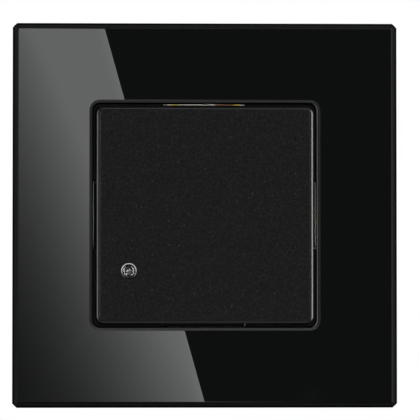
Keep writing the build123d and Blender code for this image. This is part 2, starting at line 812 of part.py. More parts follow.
# Power board, cut away round the screw bosses
with BuildPart() as power_board:
    with BuildSketch(level(power_board_back)) as power_outline:
        Rectangle(power_board_side, power_board_side)
        chamfer(power_outline.vertices(), power_board_chamfer)
        with GridLocations(joining_screw_spacing, joining_screw_spacing, 2, 2):
            Circle(boss_radius + boss_board_clearance, mode=Mode.SUBTRACT)
        for part_x, part_z in ((varistor_x, varistor_z), (fuse_x, fuse_z)):
            with Locations((part_x, part_z)):
                with GridLocations(lead_pitch, 0, 2, 1):
                    Circle(lead_radius + lead_clearance, mode=Mode.SUBTRACT)
        for terminal_x in terminal_xs:
            with Locations((terminal_x, terminal_top_z - busbar_thickness / 2)):
                Circle(busbar_pin_radius + lead_clearance, mode=Mode.SUBTRACT)
    extrude(amount=power_board_thickness)
save(power_board, "power_board")

# Relay that switches the load
with BuildPart() as relay:
    with BuildSketch(level(power_board_back)):
        with Locations((relay_x, relay_z)):
            Rectangle(relay_length, relay_width)
    extrude(amount=-relay_height)
    fillet(relay.edges().filter_by(Axis.Y) + back_face(relay).edges(), relay_edge_radius)
save(relay, "relay")

# Transformer core with its two windows, and the winding round the middle leg
with BuildPart() as transformer_core:
    core_middle = power_board_back - transformer_height / 2
    core_window_height = transformer_height - 2 * transformer_leg
    core_window_width = (transformer_length - 4 * transformer_leg) / 2
    with BuildSketch(Plane.XY.offset(transformer_z)):
        with Locations((transformer_x, -core_middle)):
            Rectangle(transformer_length, transformer_height)
            with GridLocations(2 * transformer_leg + core_window_width, 0, 2, 1):
                Rectangle(core_window_width, core_window_height, mode=Mode.SUBTRACT)
    extrude(amount=transformer_width / 2, both=True)
save(transformer_core, "transformer_core")

with BuildPart() as transformer_winding:
    winding_height = core_window_height - 2 * transformer_winding_clearance
    winding_length = 2 * (transformer_leg + core_window_width - transformer_winding_clearance)
    winding_bore_length = 2 * (transformer_leg + transformer_winding_clearance)
    winding_bore_width = transformer_width + 2 * transformer_winding_clearance
    with BuildSketch(level(core_middle - winding_height / 2)):
        with Locations((transformer_x, transformer_z)):
            RectangleRounded(winding_length, transformer_winding_width, transformer_leg)
            Rectangle(winding_bore_length, winding_bore_width, mode=Mode.SUBTRACT)
    extrude(amount=winding_height)
save(transformer_winding, "transformer_winding")

# Film capacitor
with BuildPart() as film_capacitor:
    with BuildSketch(level(power_board_back)):
        with Locations((film_x, film_z)):
            Rectangle(film_length, film_width)
    extrude(amount=-film_height)
    fillet(film_capacitor.edges().filter_by(Axis.Y), film_edge_radius)
save(film_capacitor, "film_capacitor")

# Reservoir and smoothing capacitors, both round cans
with BuildPart() as reservoir_capacitor:
    with BuildSketch(level(power_board_back)):
        with Locations((reservoir_x, reservoir_z)):
            Circle(reservoir_radius)
    extrude(amount=-reservoir_height)
    fillet(back_face(reservoir_capacitor).edges(), capacitor_edge_radius)
save(reservoir_capacitor, "reservoir_capacitor")

with BuildPart() as smoothing_capacitor:
    with BuildSketch(level(power_board_back)):
        with Locations((smoothing_x, smoothing_z)):
            Circle(smoothing_radius)
    extrude(amount=-smoothing_height)
    fillet(back_face(smoothing_capacitor).edges(), capacitor_edge_radius)
save(smoothing_capacitor, "smoothing_capacitor")

# Surge absorber: a coated disc that stands on its two leads
with BuildPart() as varistor:
    varistor_middle = power_board_back - varistor_stand - varistor_radius
    with BuildSketch(Plane.XY.offset(varistor_z)):
        with Locations((varistor_x, -varistor_middle)):
            Circle(varistor_radius)
    extrude(amount=varistor_thickness / 2, both=True)
    fillet(varistor.faces().filter_by(Axis.Z).edges(), varistor_edge_radius)
    with BuildSketch(level(varistor_middle)):
        with Locations((varistor_x, varistor_z)):
            with GridLocations(lead_pitch, 0, 2, 1):
                Circle(lead_radius)
    extrude(amount=power_board_front + pin_end - varistor_middle)
save(varistor, "varistor")

# Fuse
with BuildPart() as fuse:
    fuse_middle = power_board_back - fuse_stand - fuse_radius
    with BuildSketch(Plane.YZ.offset(fuse_x)):
        with Locations((-fuse_middle, fuse_z)):
            Circle(fuse_radius)
    extrude(amount=fuse_length / 2, both=True)
    with BuildSketch(level(fuse_middle)):
        with Locations((fuse_x, fuse_z)):
            with GridLocations(lead_pitch, 0, 2, 1):
                Circle(lead_radius)
    extrude(amount=power_board_front + pin_end - fuse_middle)
save(fuse, "fuse")

# Rectifier bridge
with BuildPart() as rectifier:
    with BuildSketch(level(power_board_back)):
        with Locations((rectifier_x, rectifier_z)):
            Rectangle(rectifier_length, rectifier_width)
    extrude(amount=-rectifier_height)
save(rectifier, "rectifier")

# Terminal block: one moulding with a chamber for each rising cage
with BuildPart() as terminal_block:
    terminal_row_middle_z = terminal_bottom_z + terminal_length / 2
    chamber_width = cage_width + 2 * cage_clearance
    chamber_length = cage_length + 2 * cage_clearance
    bar_slot_width = busbar_width + 2 * busbar_fit
    with BuildSketch(level(power_board_back)):
        with Locations((0, terminal_row_middle_z)):
            Rectangle(terminal_row_width, terminal_length)
    extrude(amount=-terminal_height)
    with BuildSketch(level(power_board_back)):
        for terminal_x in terminal_xs:
            with Locations((terminal_x, clamp_axis_z)):
                Rectangle(chamber_width, chamber_length)
    extrude(amount=clamp_web_front - power_board_back, mode=Mode.SUBTRACT)
    with BuildSketch(level(power_board_back)):
        for terminal_x in terminal_xs:
            with Locations((terminal_x, bar_start_z)):
                Rectangle(bar_slot_width, terminal_top_z - bar_start_z, align=(Align.CENTER, Align.MIN))
    extrude(amount=busbar_back - power_board_back, mode=Mode.SUBTRACT)
    with BuildSketch(level(clamp_web_front)):
        for terminal_x in terminal_xs:
            with Locations((terminal_x, clamp_axis_z)):
                Circle(clamp_screw_radius + clamp_screw_clearance)
    extrude(amount=-clamp_web, mode=Mode.SUBTRACT)
    with BuildSketch(level(clamp_web_front - clamp_web)):
        for terminal_x in terminal_xs:
            with Locations((terminal_x, clamp_axis_z)):
                Circle(clamp_head_radius + clamp_head_clearance)
    extrude(amount=terminal_back - clamp_web_front + clamp_web, mode=Mode.SUBTRACT)
    with BuildSketch(Plane.XY.offset(terminal_bottom_z)):
        for terminal_x in terminal_xs:
            with Locations((terminal_x, -(wire_front + busbar_front) / 2)):
                Circle(wire_bore_radius)
    extrude(amount=terminal_front_wall, mode=Mode.SUBTRACT)
    wire_mouths = terminal_block.edges().filter_by(GeomType.CIRCLE).group_by(Axis.Z)[0]
    chamfer(wire_mouths, wire_bore_chamfer)
save(terminal_block, "terminal_block")

# Busbars: a flat bar in each chamber, a leg up to the board and a round pin through it
with BuildPart() as busbars:
    for terminal_x in terminal_xs:
        with BuildSketch(level(busbar_back)):
            with Locations((terminal_x, bar_start_z)):
                Rectangle(busbar_width, terminal_top_z - bar_start_z, align=(Align.CENTER, Align.MIN))
        extrude(amount=busbar_thickness)
        with BuildSketch(level(busbar_back)):
            with Locations((terminal_x, terminal_top_z)):
                Rectangle(busbar_width, busbar_thickness, align=(Align.CENTER, Align.MAX))
        extrude(amount=power_board_back - busbar_back)
        with BuildSketch(level(power_board_back)):
            with Locations((terminal_x, terminal_top_z - busbar_thickness / 2)):
                Circle(busbar_pin_radius)
        extrude(amount=power_board_thickness)
save(busbars, "busbars")

# Rising cages and the clamp screws that draw them
for number, terminal_x in enumerate(terminal_xs, start=1):
    with BuildPart() as cage:
        with BuildSketch(Plane.XY.offset(cage_bottom_z)):
            with Locations((terminal_x, -(cage_front + cage_back) / 2)):
                Rectangle(cage_width, cage_front - cage_back)
            with Locations((terminal_x, -(wire_front + cage_inner_back) / 2)):
                Rectangle(cage_width - 2 * cage_wall, wire_front - cage_inner_back, mode=Mode.SUBTRACT)
        extrude(amount=cage_length)
        with BuildSketch(level(cage_inner_back)):
            with Locations((terminal_x, clamp_axis_z)):
                Circle(clamp_screw_radius + clamp_screw_clearance)
        extrude(amount=-cage_thread_wall, mode=Mode.SUBTRACT)
    save(cage, f"terminal_cage_{number}")
    with BuildPart() as clamp_screw:
        with BuildSketch(level(clamp_head_front)):
            with Locations((terminal_x, clamp_axis_z)):
                Circle(clamp_head_radius)
        extrude(amount=-clamp_head_height)
        with BuildSketch(level(clamp_head_front)):
            with Locations((terminal_x, clamp_axis_z)):
                Circle(clamp_screw_radius)
        extrude(amount=busbar_back - clamp_screw_clearance - clamp_head_front)
        with BuildSketch(level(clamp_head_front - clamp_head_height)):
            with Locations((terminal_x, clamp_axis_z)):
                Rectangle(2 * clamp_head_radius, clamp_slot_width)
        extrude(amount=clamp_slot_depth, mode=Mode.SUBTRACT)
    save(clamp_screw, f"clamp_screw_{number}")
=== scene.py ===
import json

import bmesh
import bpy
import numpy as np
from mathutils import Matrix, Vector

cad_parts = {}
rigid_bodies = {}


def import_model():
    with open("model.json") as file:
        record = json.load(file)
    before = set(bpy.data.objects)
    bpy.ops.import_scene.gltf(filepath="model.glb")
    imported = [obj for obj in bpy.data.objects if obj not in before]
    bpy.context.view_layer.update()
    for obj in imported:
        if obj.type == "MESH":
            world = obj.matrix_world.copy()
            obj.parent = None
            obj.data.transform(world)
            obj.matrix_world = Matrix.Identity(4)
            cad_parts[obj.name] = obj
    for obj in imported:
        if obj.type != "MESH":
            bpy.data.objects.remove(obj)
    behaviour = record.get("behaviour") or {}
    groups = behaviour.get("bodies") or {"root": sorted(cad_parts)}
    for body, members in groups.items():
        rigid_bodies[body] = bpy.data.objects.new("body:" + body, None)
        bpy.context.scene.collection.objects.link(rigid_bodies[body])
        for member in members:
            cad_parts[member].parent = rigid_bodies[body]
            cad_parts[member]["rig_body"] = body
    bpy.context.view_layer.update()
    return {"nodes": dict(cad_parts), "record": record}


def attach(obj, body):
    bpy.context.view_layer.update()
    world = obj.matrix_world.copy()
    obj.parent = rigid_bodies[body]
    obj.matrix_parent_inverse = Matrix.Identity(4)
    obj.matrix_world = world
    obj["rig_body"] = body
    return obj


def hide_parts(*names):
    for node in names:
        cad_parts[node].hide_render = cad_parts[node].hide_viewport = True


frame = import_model()

# Mounting plate
# 1 mm steel sheet, blanked and pierced, with its rim folded up and four tabs lanced out of it that
# centre the module. It is zinc plated and yellow passivated, so its colour drifts from spot to spot.
MM = 0.001
slot_of = {part["node"]: part["material_slot"] for part in frame["record"]["subparts"]}


class Finish:
    """A surface finish: the Principled shader's own sockets, and the nodes that vary it over a piece."""

    def __init__(self, name, sockets):
        self.material = bpy.data.materials.new(name)
        self.material.use_nodes = True
        self.tree = self.material.node_tree
        self.shader = self.tree.nodes["Principled BSDF"]
        self.feed(self.shader, sockets)
        self.place = self.add("TexCoord").outputs["Object"]

    def feed(self, node, inputs):
        """Gives each named socket of the node its value, or links another node's output to it."""
        for socket, value in inputs.items():
            if isinstance(value, bpy.types.NodeSocket):
                self.tree.links.new(value, node.inputs[socket])
            else:
                node.inputs[socket].default_value = value

    def add(self, kind, inputs=None, **settings):
        """A new shader node of that kind, with its settings made and its inputs fed."""
        node = self.tree.nodes.new("ShaderNode" + kind)
        for key, value in settings.items():
            setattr(node, key, value)
        self.feed(node, inputs or {})
        return node

    def stretched(self, stretch, turn=(0, 0, 0)):
        """The piece's coordinates, turned and then multiplied along each axis."""
        return self.add("Mapping", {"Vector": self.place, "Rotation": turn, "Scale": stretch}).outputs["Vector"]

    def cloud(self, size_mm, detail=2.0, where=None):
        """A soft random field from 0 to 1 whose blotches are about size_mm across."""
        inputs = {"Vector": where or self.place, "Scale": 1 / (size_mm * MM), "Detail": detail}
        return self.add("TexNoise", inputs).outputs["Fac"]

    def specks(self, apart_mm, radius_mm, share):
        """1 in small round spots and 0 elsewhere: the given share of points scattered apart_mm from each other."""
        points = self.add("TexVoronoi", {"Vector": self.place, "Scale": 1 / (apart_mm * MM)})
        chance = self.add("SeparateColor", {"Color": points.outputs["Color"]}).outputs["Red"]
        near = self.between(points.outputs["Distance"], 1.0, 0.0, 0.4 * radius_mm / apart_mm, radius_mm / apart_mm)
        return self.maths("MULTIPLY", near, self.maths("LESS_THAN", chance, share))

    def tones(self, amount, *stops):
        """Colour by amount: each stop is (amount, (red, green, blue))."""
        ramp = self.add("ValToRGB", {"Fac": amount})
        elements = ramp.color_ramp.elements
        while len(elements) < len(stops):
            elements.new(1.0)
        for element, (position, colour) in zip(elements, stops):
            element.position = position
            element.color = (*colour, 1)
        return ramp.outputs["Color"]

    def between(self, amount, low, high, start=0.3, stop=0.7):
        """Amount from start to stop, moved to the range from low to high."""
        inputs = {"Value": amount, "From Min": start, "From Max": stop, "To Min": low, "To Max": high}
        return self.add("MapRange", inputs).outputs["Result"]

    def maths(self, operation, first, second):
        """The result of one operation on two values, or on the first alone where it takes one."""
        node = self.add("Math", {0: first, 1: second}, operation=operation)
        return node.outputs["Value"]

    def relief(self, height, depth_mm, under=None):
        """Bump of depth_mm where height goes from 0 to 1."""
        inputs = {"Height": height, "Distance": depth_mm * MM}
        if under:
            inputs["Normal"] = under
        return self.add("Bump", inputs).outputs["Normal"]

    def wear(self, **sockets):
        """Wires the shader's varied sockets, such as Roughness, and gives the material."""
        self.feed(self.shader, {name.replace("_", " "): value for name, value in sockets.items()})
        return self.material


def place(piece, material, body, slot, *replaced):
    """Puts a finished piece in the scene, on its body, with its finish and the CAD nodes it stands for."""
    bpy.context.scene.collection.objects.link(piece)
    piece.data.materials.clear()
    piece.data.materials.append(material)
    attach(piece, body)
    if replaced:
        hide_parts(*replaced)
    return piece


def eased(node, edge_mm, material):
    """A CAD piece with its sharp edges rounded by edge_mm, as tumbling and moulds leave them."""
    source = frame["nodes"][node]
    mesh = source.data.copy()
    shape = bmesh.new()
    shape.from_mesh(mesh)
    bmesh.ops.remove_doubles(shape, verts=shape.verts, dist=0.002 * MM)
    bmesh.ops.dissolve_limit(shape, angle_limit=0.02, verts=shape.verts, edges=shape.edges)
    shape.to_mesh(mesh)
    shape.free()
    mesh.shade_smooth()
    piece = bpy.data.objects.new(node + "_eased", mesh)
    edge = piece.modifiers.new("edge", "BEVEL")
    edge.width = edge_mm * MM
    edge.segments = 2
    edge.limit_method = "ANGLE"
    edge.angle_limit = np.radians(32)
    edge.use_clamp_overlap = False
    edge.loop_slide = False
    piece.modifiers.new("flats", "WEIGHTED_NORMAL").keep_sharp = True
    return place(piece, material, source["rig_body"], slot_of[node], node)


plated = Finish("yellow_passivated_zinc", {"Metallic": 1.0})
pale_zinc, yellow, russet = (0.62, 0.61, 0.56), (0.70, 0.55, 0.08), (0.33, 0.17, 0.11)
straw, tan = (0.66, 0.63, 0.52), (0.60, 0.53, 0.40)
soft = plated.tones(plated.cloud(16.0, 2.0), (0.30, pale_zinc), (0.52, straw), (0.72, tan))
# On the top tab the tints lie in bands across its width. It stands in front of the plate, between two heights.
TAB_HALF, TAB_ROOT, TAB_FOOT, TAB_HEAD = 8, 1.6, 22.4, 27
spot = plated.add("SeparateXYZ", {"Vector": plated.place})
across = plated.between(spot.outputs["X"], 0.0, 1.0, -TAB_HALF * MM, TAB_HALF * MM)
bands = plated.tones(
    across, (0.05, pale_zinc), (0.08, yellow), (0.13, yellow), (0.17, pale_zinc), (0.62, pale_zinc),
    (0.66, russet), (0.87, russet), (0.90, yellow), (0.94, yellow), (0.97, pale_zinc),
)
proud = plated.maths(
    "MULTIPLY", plated.maths("LESS_THAN", spot.outputs["Y"], -TAB_ROOT * MM),
    plated.maths("LESS_THAN", spot.outputs["Z"], TAB_HEAD * MM),
)
above_foot = plated.between(spot.outputs["Z"], 0.0, 1.0, TAB_FOOT * MM, (TAB_FOOT + 0.4) * MM)
on_tab = plated.maths("MULTIPLY", above_foot, proud)
tints = plated.add("Mix", {0: on_tab, 6: soft, 7: bands}, data_type="RGBA")
rolled = plated.cloud(0.25, 3.0, plated.stretched((0.08, 1, 1)))
steel = plated.wear(
    Base_Color=tints.outputs[2],
    Roughness=plated.between(rolled, 0.33, 0.41),
    Normal=plated.relief(rolled, 0.0012),
)
eased("mounting_plate", 0.16, steel)

# Rear half of the module
# An eight-sided cup of dark grey flame-retardant plastic, injection moulded with a fine spark-eroded
# grain. It goes into the wall box and has vents and a raised number beside each screwdriver hole.
def moulded(name, dark, light, gloss, grain_mm=0.12, grain_depth=0.012, sockets=None):
    """Moulded plastic: a faint cloud in its colour and a fine grain in its surface and gloss."""
    plastic = Finish(name, sockets or {})
    grain = plastic.cloud(grain_mm, 2.0)
    return plastic.wear(
        Base_Color=plastic.tones(plastic.cloud(3.0, 3.0), (0.35, dark), (0.65, light)),
        Roughness=plastic.between(grain, gloss - 0.05, gloss + 0.06),
        Normal=plastic.relief(grain, grain_depth),
    )


housing_grey = moulded("housing_grey", (0.036, 0.036, 0.039), (0.043, 0.043, 0.046), 0.52)
eased("module_rear", 0.22, housing_grey)


def figures(name, text, height_mm, middle, right, up, rise_mm, material, body, slot):
    """Raised or printed figures: flat letter outlines given a thickness, centred on a point, facing right x up."""
    outline = bpy.data.curves.new(name, "FONT")
    outline.body = text
    outline.size = height_mm * MM / 0.7
    outline.align_x = outline.align_y = "CENTER"
    outline.extrude = rise_mm * MM / 2
    outline.resolution_u = 4
    sketch = bpy.data.objects.new(name, outline)
    mesh = bpy.data.meshes.new_from_object(sketch)
    bpy.data.objects.remove(sketch)
    right, up = Vector(right), Vector(up)
    turn = Matrix((right, up, right.cross(up))).transposed().to_4x4()
    mesh.transform(Matrix.Translation(Vector(middle) * MM) @ turn)
    return place(bpy.data.objects.new(name, mesh), material, body, slot)


TERMINALS_X, REAR_FACE = (-8.4, 0.0, 8.4), 24.05
for number, x in enumerate(TERMINALS_X, start=1):
    figures(
        f"terminal_figure_{number}", str(number), 2.2, (x, REAR_FACE, -13.1), (-1, 0, 0), (0, 0, 1), 0.3,
        housing_grey, "root", "grey_housing",
    )

# Terminal block
# A light grey moulding with three chambers that the wires enter from below. In each a square cage of
# plated steel rises on its screw and pinches the wire against a brass bar.
block_grey = moulded("block_grey", (0.50, 0.50, 0.48), (0.56, 0.56, 0.54), 0.45)
eased("terminal_block", 0.12, block_grey)


def metal(name, dark, light, gloss, streak=(1, 1, 1), streak_mm=0.35, streak_depth=0.0015):
    """Bare or plated metal: two close tones and fine streaks in its gloss and surface."""
    bare = Finish(name, {"Metallic": 1.0})
    streaks = bare.cloud(streak_mm, 3.0, bare.stretched(streak))
    return bare.wear(
        Base_Color=bare.tones(bare.cloud(1.5, 3.0), (0.35, dark), (0.65, light)),
        Roughness=bare.between(streaks, gloss - 0.04, gloss + 0.05),
        Normal=bare.relief(streaks, streak_depth),
    )


tin = metal("tinned_metal", (0.60, 0.60, 0.59), (0.70, 0.70, 0.69), 0.24)
screw_zinc = metal("bright_zinc", (0.55, 0.56, 0.57), (0.66, 0.67, 0.68), 0.27, (0.3, 0.3, 1))
brass = metal("brass", (0.58, 0.41, 0.14), (0.68, 0.50, 0.20), 0.26, (0.1, 1, 1))
eased("busbars", 0.1, brass)
for number in (1, 2, 3):
    eased(f"terminal_cage_{number}", 0.12, tin)
    eased(f"clamp_screw_{number}", 0.12, screw_zinc)


# Power board
# Glass-fibre laminate under green solder mask, with wide copper tracks that show as raised, lighter
# bands. It lies in the rear cup on moulded ribs and carries the parts that switch and supply.
TRACK_WIDTH, TRACK_RISE = 1.9, 0.03
green = Finish("green_mask", {"Coat Weight": 0.4, "Coat Roughness": 0.12})
between_tracks = green.add(
    "TexBrick",
    {"Vector": green.stretched((1, 1, 1), (np.pi / 2, 0, 0)), "Scale": 1.0, "Mortar Size": 0.16 * TRACK_WIDTH * MM,
     "Brick Width": 5 * TRACK_WIDTH * MM, "Row Height": TRACK_WIDTH * MM, "Mortar Smooth": 0.1},
    offset=0.37, squash=0.6, squash_frequency=3,
).outputs["Fac"]
weave = green.cloud(0.5, 1.0)
over_tracks = green.relief(green.maths("SUBTRACT", 1.0, between_tracks), TRACK_RISE)
green_mask = green.wear(
    Base_Color=green.tones(between_tracks, (0.2, (0.020, 0.140, 0.050)), (0.8, (0.012, 0.085, 0.032))),
    Roughness=green.between(weave, 0.30, 0.42),
    Normal=green.relief(weave, 0.004, over_tracks),
)
eased("power_board", 0.08, green_mask)

# Parts on the power board
# A sealed relay, a small transformer with a ground ferrite core and yellow tape, a film capacitor in
# yellow epoxy, two sleeved round capacitors, a dipped surge absorber, a fuse and a rectifier.
relay_black = moulded("relay_black", (0.020, 0.022, 0.026), (0.026, 0.028, 0.032), 0.28, 0.3, 0.004)
ferrite = moulded("ferrite", (0.030, 0.030, 0.031), (0.048, 0.047, 0.046), 0.62, 0.06, 0.02)
winding_tape = moulded("winding_tape", (0.66, 0.40, 0.03), (0.74, 0.48, 0.05), 0.22, 1.2, 0.03)
yellow_epoxy = moulded("yellow_epoxy", (0.60, 0.36, 0.03), (0.66, 0.42, 0.05), 0.30, 0.2, 0.006)
sleeve_black = moulded("sleeve_black", (0.016, 0.017, 0.026), (0.022, 0.023, 0.034), 0.25, 0.8, 0.01)
dipped_blue = moulded("dipped_blue", (0.020, 0.080, 0.350), (0.030, 0.110, 0.430), 0.24, 0.7, 0.03)
epoxy_black = moulded("epoxy_black", (0.012, 0.012, 0.012), (0.018, 0.018, 0.018), 0.46, 0.08, 0.008)
for node, edge_mm, material in (
    ("relay", 0.25, relay_black), ("transformer_core", 0.2, ferrite), ("transformer_winding", 0.15, winding_tape),
    ("film_capacitor", 0.25, yellow_epoxy), ("reservoir_capacitor", 0.15, sleeve_black),
    ("smoothing_capacitor", 0.15, sleeve_black), ("varistor", 0.1, dipped_blue), ("fuse", 0.12, epoxy_black),
    ("rectifier", 0.2, epoxy_black),
):
    eased(node, edge_mm, material)

# Control board
# A second green board 3.2 mm in front of the power board, on a pin socket and two nylon hexagonal
# spacers. It carries the control chip, three adjusters and the pin header of the radar board.
natural_nylon = moulded(
    "natural_nylon", (0.66, 0.64, 0.56), (0.72, 0.70, 0.63), 0.4,
    sockets={"Subsurface Weight": 0.15, "Subsurface Radius": (0.001, 0.0008, 0.0005)},
)
eased("control_board", 0.08, green_mask)
eased("control_chip", 0.06, epoxy_black)
eased("board_spacers", 0.12, natural_nylon)
eased("sensor_spacer", 0.1, natural_nylon)
eased("stack_socket", 0.08, epoxy_black)
eased("radar_header", 0.08, epoxy_black)
eased("stack_pins", 0.06, tin)
eased("radar_pins", 0.06, tin)

# Adjusters
# Three trimming resistors with square blue bodies. In each a white plastic dial with a screwdriver
# slot and a pointer turns through 270 degrees.
adjuster_blue = moulded("adjuster_blue", (0.012, 0.090, 0.360), (0.018, 0.115, 0.420), 0.3, 0.2, 0.005)
dial_white = moulded("dial_white", (0.68, 0.68, 0.64), (0.74, 0.74, 0.70), 0.38, 0.15, 0.006)
for setting in ("range", "time", "daylight"):
    eased(f"{setting}_adjuster", 0.1, adjuster_blue)
    eased(f"{setting}_dial", 0.09, dial_white)

# Front half of the module
# The deck under the cover, moulded in the same grey as the rear half, with a scale sunk round each
# dial. The end figures of each scale are printed in white.
eased("module_front", 0.07, housing_grey)
white_ink = moulded("white_ink", (0.70, 0.70, 0.68), (0.76, 0.76, 0.74), 0.5, 0.2, 0.004)
DECK_FRONT, FIGURES_Z = -5.61, -13.9
for x, dial, low, high in ((-6.0, "m6", "2", "8"), (3.0, "p3", "5", "900"), (12.0, "p12", "2", "2000")):
    for side, end, text in ((-1, "low", low), (1, "high", high)):
        figures(
            f"scale_figure_{end}_{dial}", text, 0.95, (x + side * 2.35, DECK_FRONT, FIGURES_Z),
            (1, 0, 0), (0, 0, 1), 0.03, white_ink, "root", "dial_white",
        )


# Radar board
# Blue laminate that stands on four posts in front of the deck. Its front has the bare, tinned copper
# of the aerials and their feed lines; the screening can sits behind, in the deck's window.
def surface(name, points, ring=False):
    """A grid of points made a mesh: rows run along the first axis and each row closes on itself.
    With ring the last row joins the first, otherwise the first and last rows are capped."""
    rows, columns = points.shape[:2]
    index = np.arange(rows * columns).reshape(rows, columns)
    joined = np.vstack([index, index[:1]]) if ring else index
    beside = np.roll(joined, -1, axis=1)
    quads = np.stack([joined[:-1], beside[:-1], beside[1:], joined[1:]], axis=-1).reshape(-1, 4).tolist()
    caps = [] if ring else [index[0][::-1].tolist(), index[-1].tolist()]
    mesh = bpy.data.meshes.new(name)
    mesh.from_pydata((points.reshape(-1, 3) * MM).tolist(), [], quads + caps)
    shape = bmesh.new()
    shape.from_mesh(mesh)
    bmesh.ops.remove_doubles(shape, verts=shape.verts, dist=0.0005 * MM)
    bmesh.ops.recalc_face_normals(shape, faces=shape.faces)
    shape.to_mesh(mesh)
    shape.free()
    mesh.shade_smooth()
    piece = bpy.data.objects.new(name, mesh)
    piece.modifiers.new("flats", "WEIGHTED_NORMAL").keep_sharp = True
    return piece


def rounded_rings(rings, middle=(0.0, 0.0), steps=8):
    """Rings of rounded rectangles: (half width, half height, corner radius, distance before the wall, cut).
    A corner is a quarter circle about a point one radius in from both sides. Cut 1 pulls it to the
    straight line between its ends, where the cosine and sine of the angle add up to 1, and 0 leaves it."""
    half_x, half_z, radius, before, cut = (column[:, None] for column in np.array(rings, float).T)
    corner = np.repeat(np.arange(4), steps + 1)
    angle = corner * np.pi / 2 + np.tile(np.linspace(0, np.pi / 2, steps + 1), 4)
    side_x = np.array([1, -1, -1, 1])[corner]
    side_z = np.array([1, 1, -1, -1])[corner]
    reach = radius / (1 + cut * (np.abs(np.cos(angle)) + np.abs(np.sin(angle)) - 1))
    x = middle[0] + side_x * (half_x - radius) + reach * np.cos(angle)
    z = middle[1] + side_z * (half_z - radius) + reach * np.sin(angle)
    return np.stack([x, np.broadcast_to(-before, x.shape), z], axis=-1)


def pad(name, x, z, width, height, base, thickness, radius, material, body, slot):
    """A low block with rounded corners and a broken top edge, such as a copper patch or a chip part."""
    edge = min(0.35 * thickness, 0.1)
    rings = [
        (width / 2, height / 2, radius, base, 0), (width / 2, height / 2, radius, base + thickness - edge, 0),
        (width / 2 - edge, height / 2 - edge, max(radius - edge, 0.01), base + thickness, 0),
    ]
    return place(surface(name, rounded_rings(rings, (x, z), 4)), material, body, slot)


# Small plated holes on a square grid join the copper of its two sides and show as paler dots.
VIA_PITCH = 1.45
blue = Finish("blue_mask", {"Coat Weight": 0.4, "Coat Roughness": 0.12})
grid = {"Vector": blue.stretched((1, 1, 1), (np.pi / 2, 0, 0)), "Scale": 1 / (VIA_PITCH * MM), "Randomness": 0.0}
from_via = blue.add("TexVoronoi", grid, voronoi_dimensions="2D").outputs["Distance"]
vias = blue.between(from_via, 1.0, 0.0, 0.10, 0.14)
blue_mask = blue.wear(
    Base_Color=blue.tones(vias, (0.1, (0.012, 0.052, 0.165)), (0.9, (0.045, 0.120, 0.260))),
    Roughness=blue.between(blue.cloud(0.5, 1.0), 0.30, 0.42),
    Normal=blue.relief(vias, 0.02),
)
eased("radar_board", 0.08, blue_mask)
eased("radar_can", 0.12, tin)
RADAR_FRONT = 7.0
for number, (x, z, width, height) in enumerate((
    (-9.6, 10.6, 6.4, 5.2), (-9.6, 2.6, 6.4, 5.2), (9.6, 10.6, 6.4, 5.2), (9.6, 2.6, 6.4, 5.2),
    (-9.6, 6.6, 0.5, 2.8), (9.6, 6.6, 0.5, 2.8), (-4.7, 6.6, 9.4, 0.45), (4.7, 6.6, 9.4, 0.45),
    (0.0, 4.3, 5.4, 0.4), (-2.5, 5.45, 0.4, 2.5), (2.5, 5.45, 0.4, 2.5), (0.0, 9.3, 0.45, 5.0),
), start=1):
    pad(f"aerial_copper_{number}", x, z, width, height, RADAR_FRONT, 0.04, 0.12, tin, "root", "tinplate")
for number, (x, z, width, height, thickness) in enumerate((
    (0.0, 6.6, 1.6, 1.3, 0.7), (-3.9, 9.4, 1.0, 0.5, 0.35), (3.9, 9.4, 1.0, 0.5, 0.35),
    (-3.9, 11.4, 1.0, 0.5, 0.35), (3.9, 11.4, 1.0, 0.5, 0.35), (0.0, 1.6, 1.3, 0.8, 0.5),
), start=1):
    pad(
        f"chip_part_{number}", x, z, width, height, RADAR_FRONT, thickness, 0.05,
        epoxy_black, "root", "chip_black",
    )


def turned(profile, middle=(0.0, 0.0), steps=48):
    """A profile of (radius, distance before the wall) turned about an axis through middle, square to the wall."""
    radius, before = (column[:, None] for column in np.array(profile, float).T)
    angle = np.linspace(0, 2 * np.pi, steps, endpoint=False)
    x = middle[0] + radius * np.cos(angle)
    z = middle[1] + radius * np.sin(angle)
    return np.stack([x, np.broadcast_to(-before, x.shape), z], axis=-1)


# Solder rises as a hollow-sided cone round the end of each pin of the header.
solder_profile = [(0.95, RADAR_FRONT), (0.93, 7.03), (0.6, 7.16), (0.46, 7.4), (0.42, 7.62), (0.3, 7.7)]
for number, x in enumerate((-3.81, -1.27, 1.27, 3.81), start=1):
    place(surface(f"solder_joint_{number}", turned(solder_profile, (x, 15.4), 20)), tin, "root", "tinplate")

# Joining screws
# Four cross-slotted cheese-head screws in bright zinc that draw the two halves of the module together
# with the mounting plate between them.
eased("joining_screws", 0.12, screw_zinc)

# Daylight sensor
# A smoked resin body with a frosted lip and two tinned legs. In its well lie the light-sensitive chip
# and its bond wire, under a clear dome that shows in the hole in the cover's lower left corner.
SENSOR = (-15.8, -11.6)
TURNED_STEPS = 64
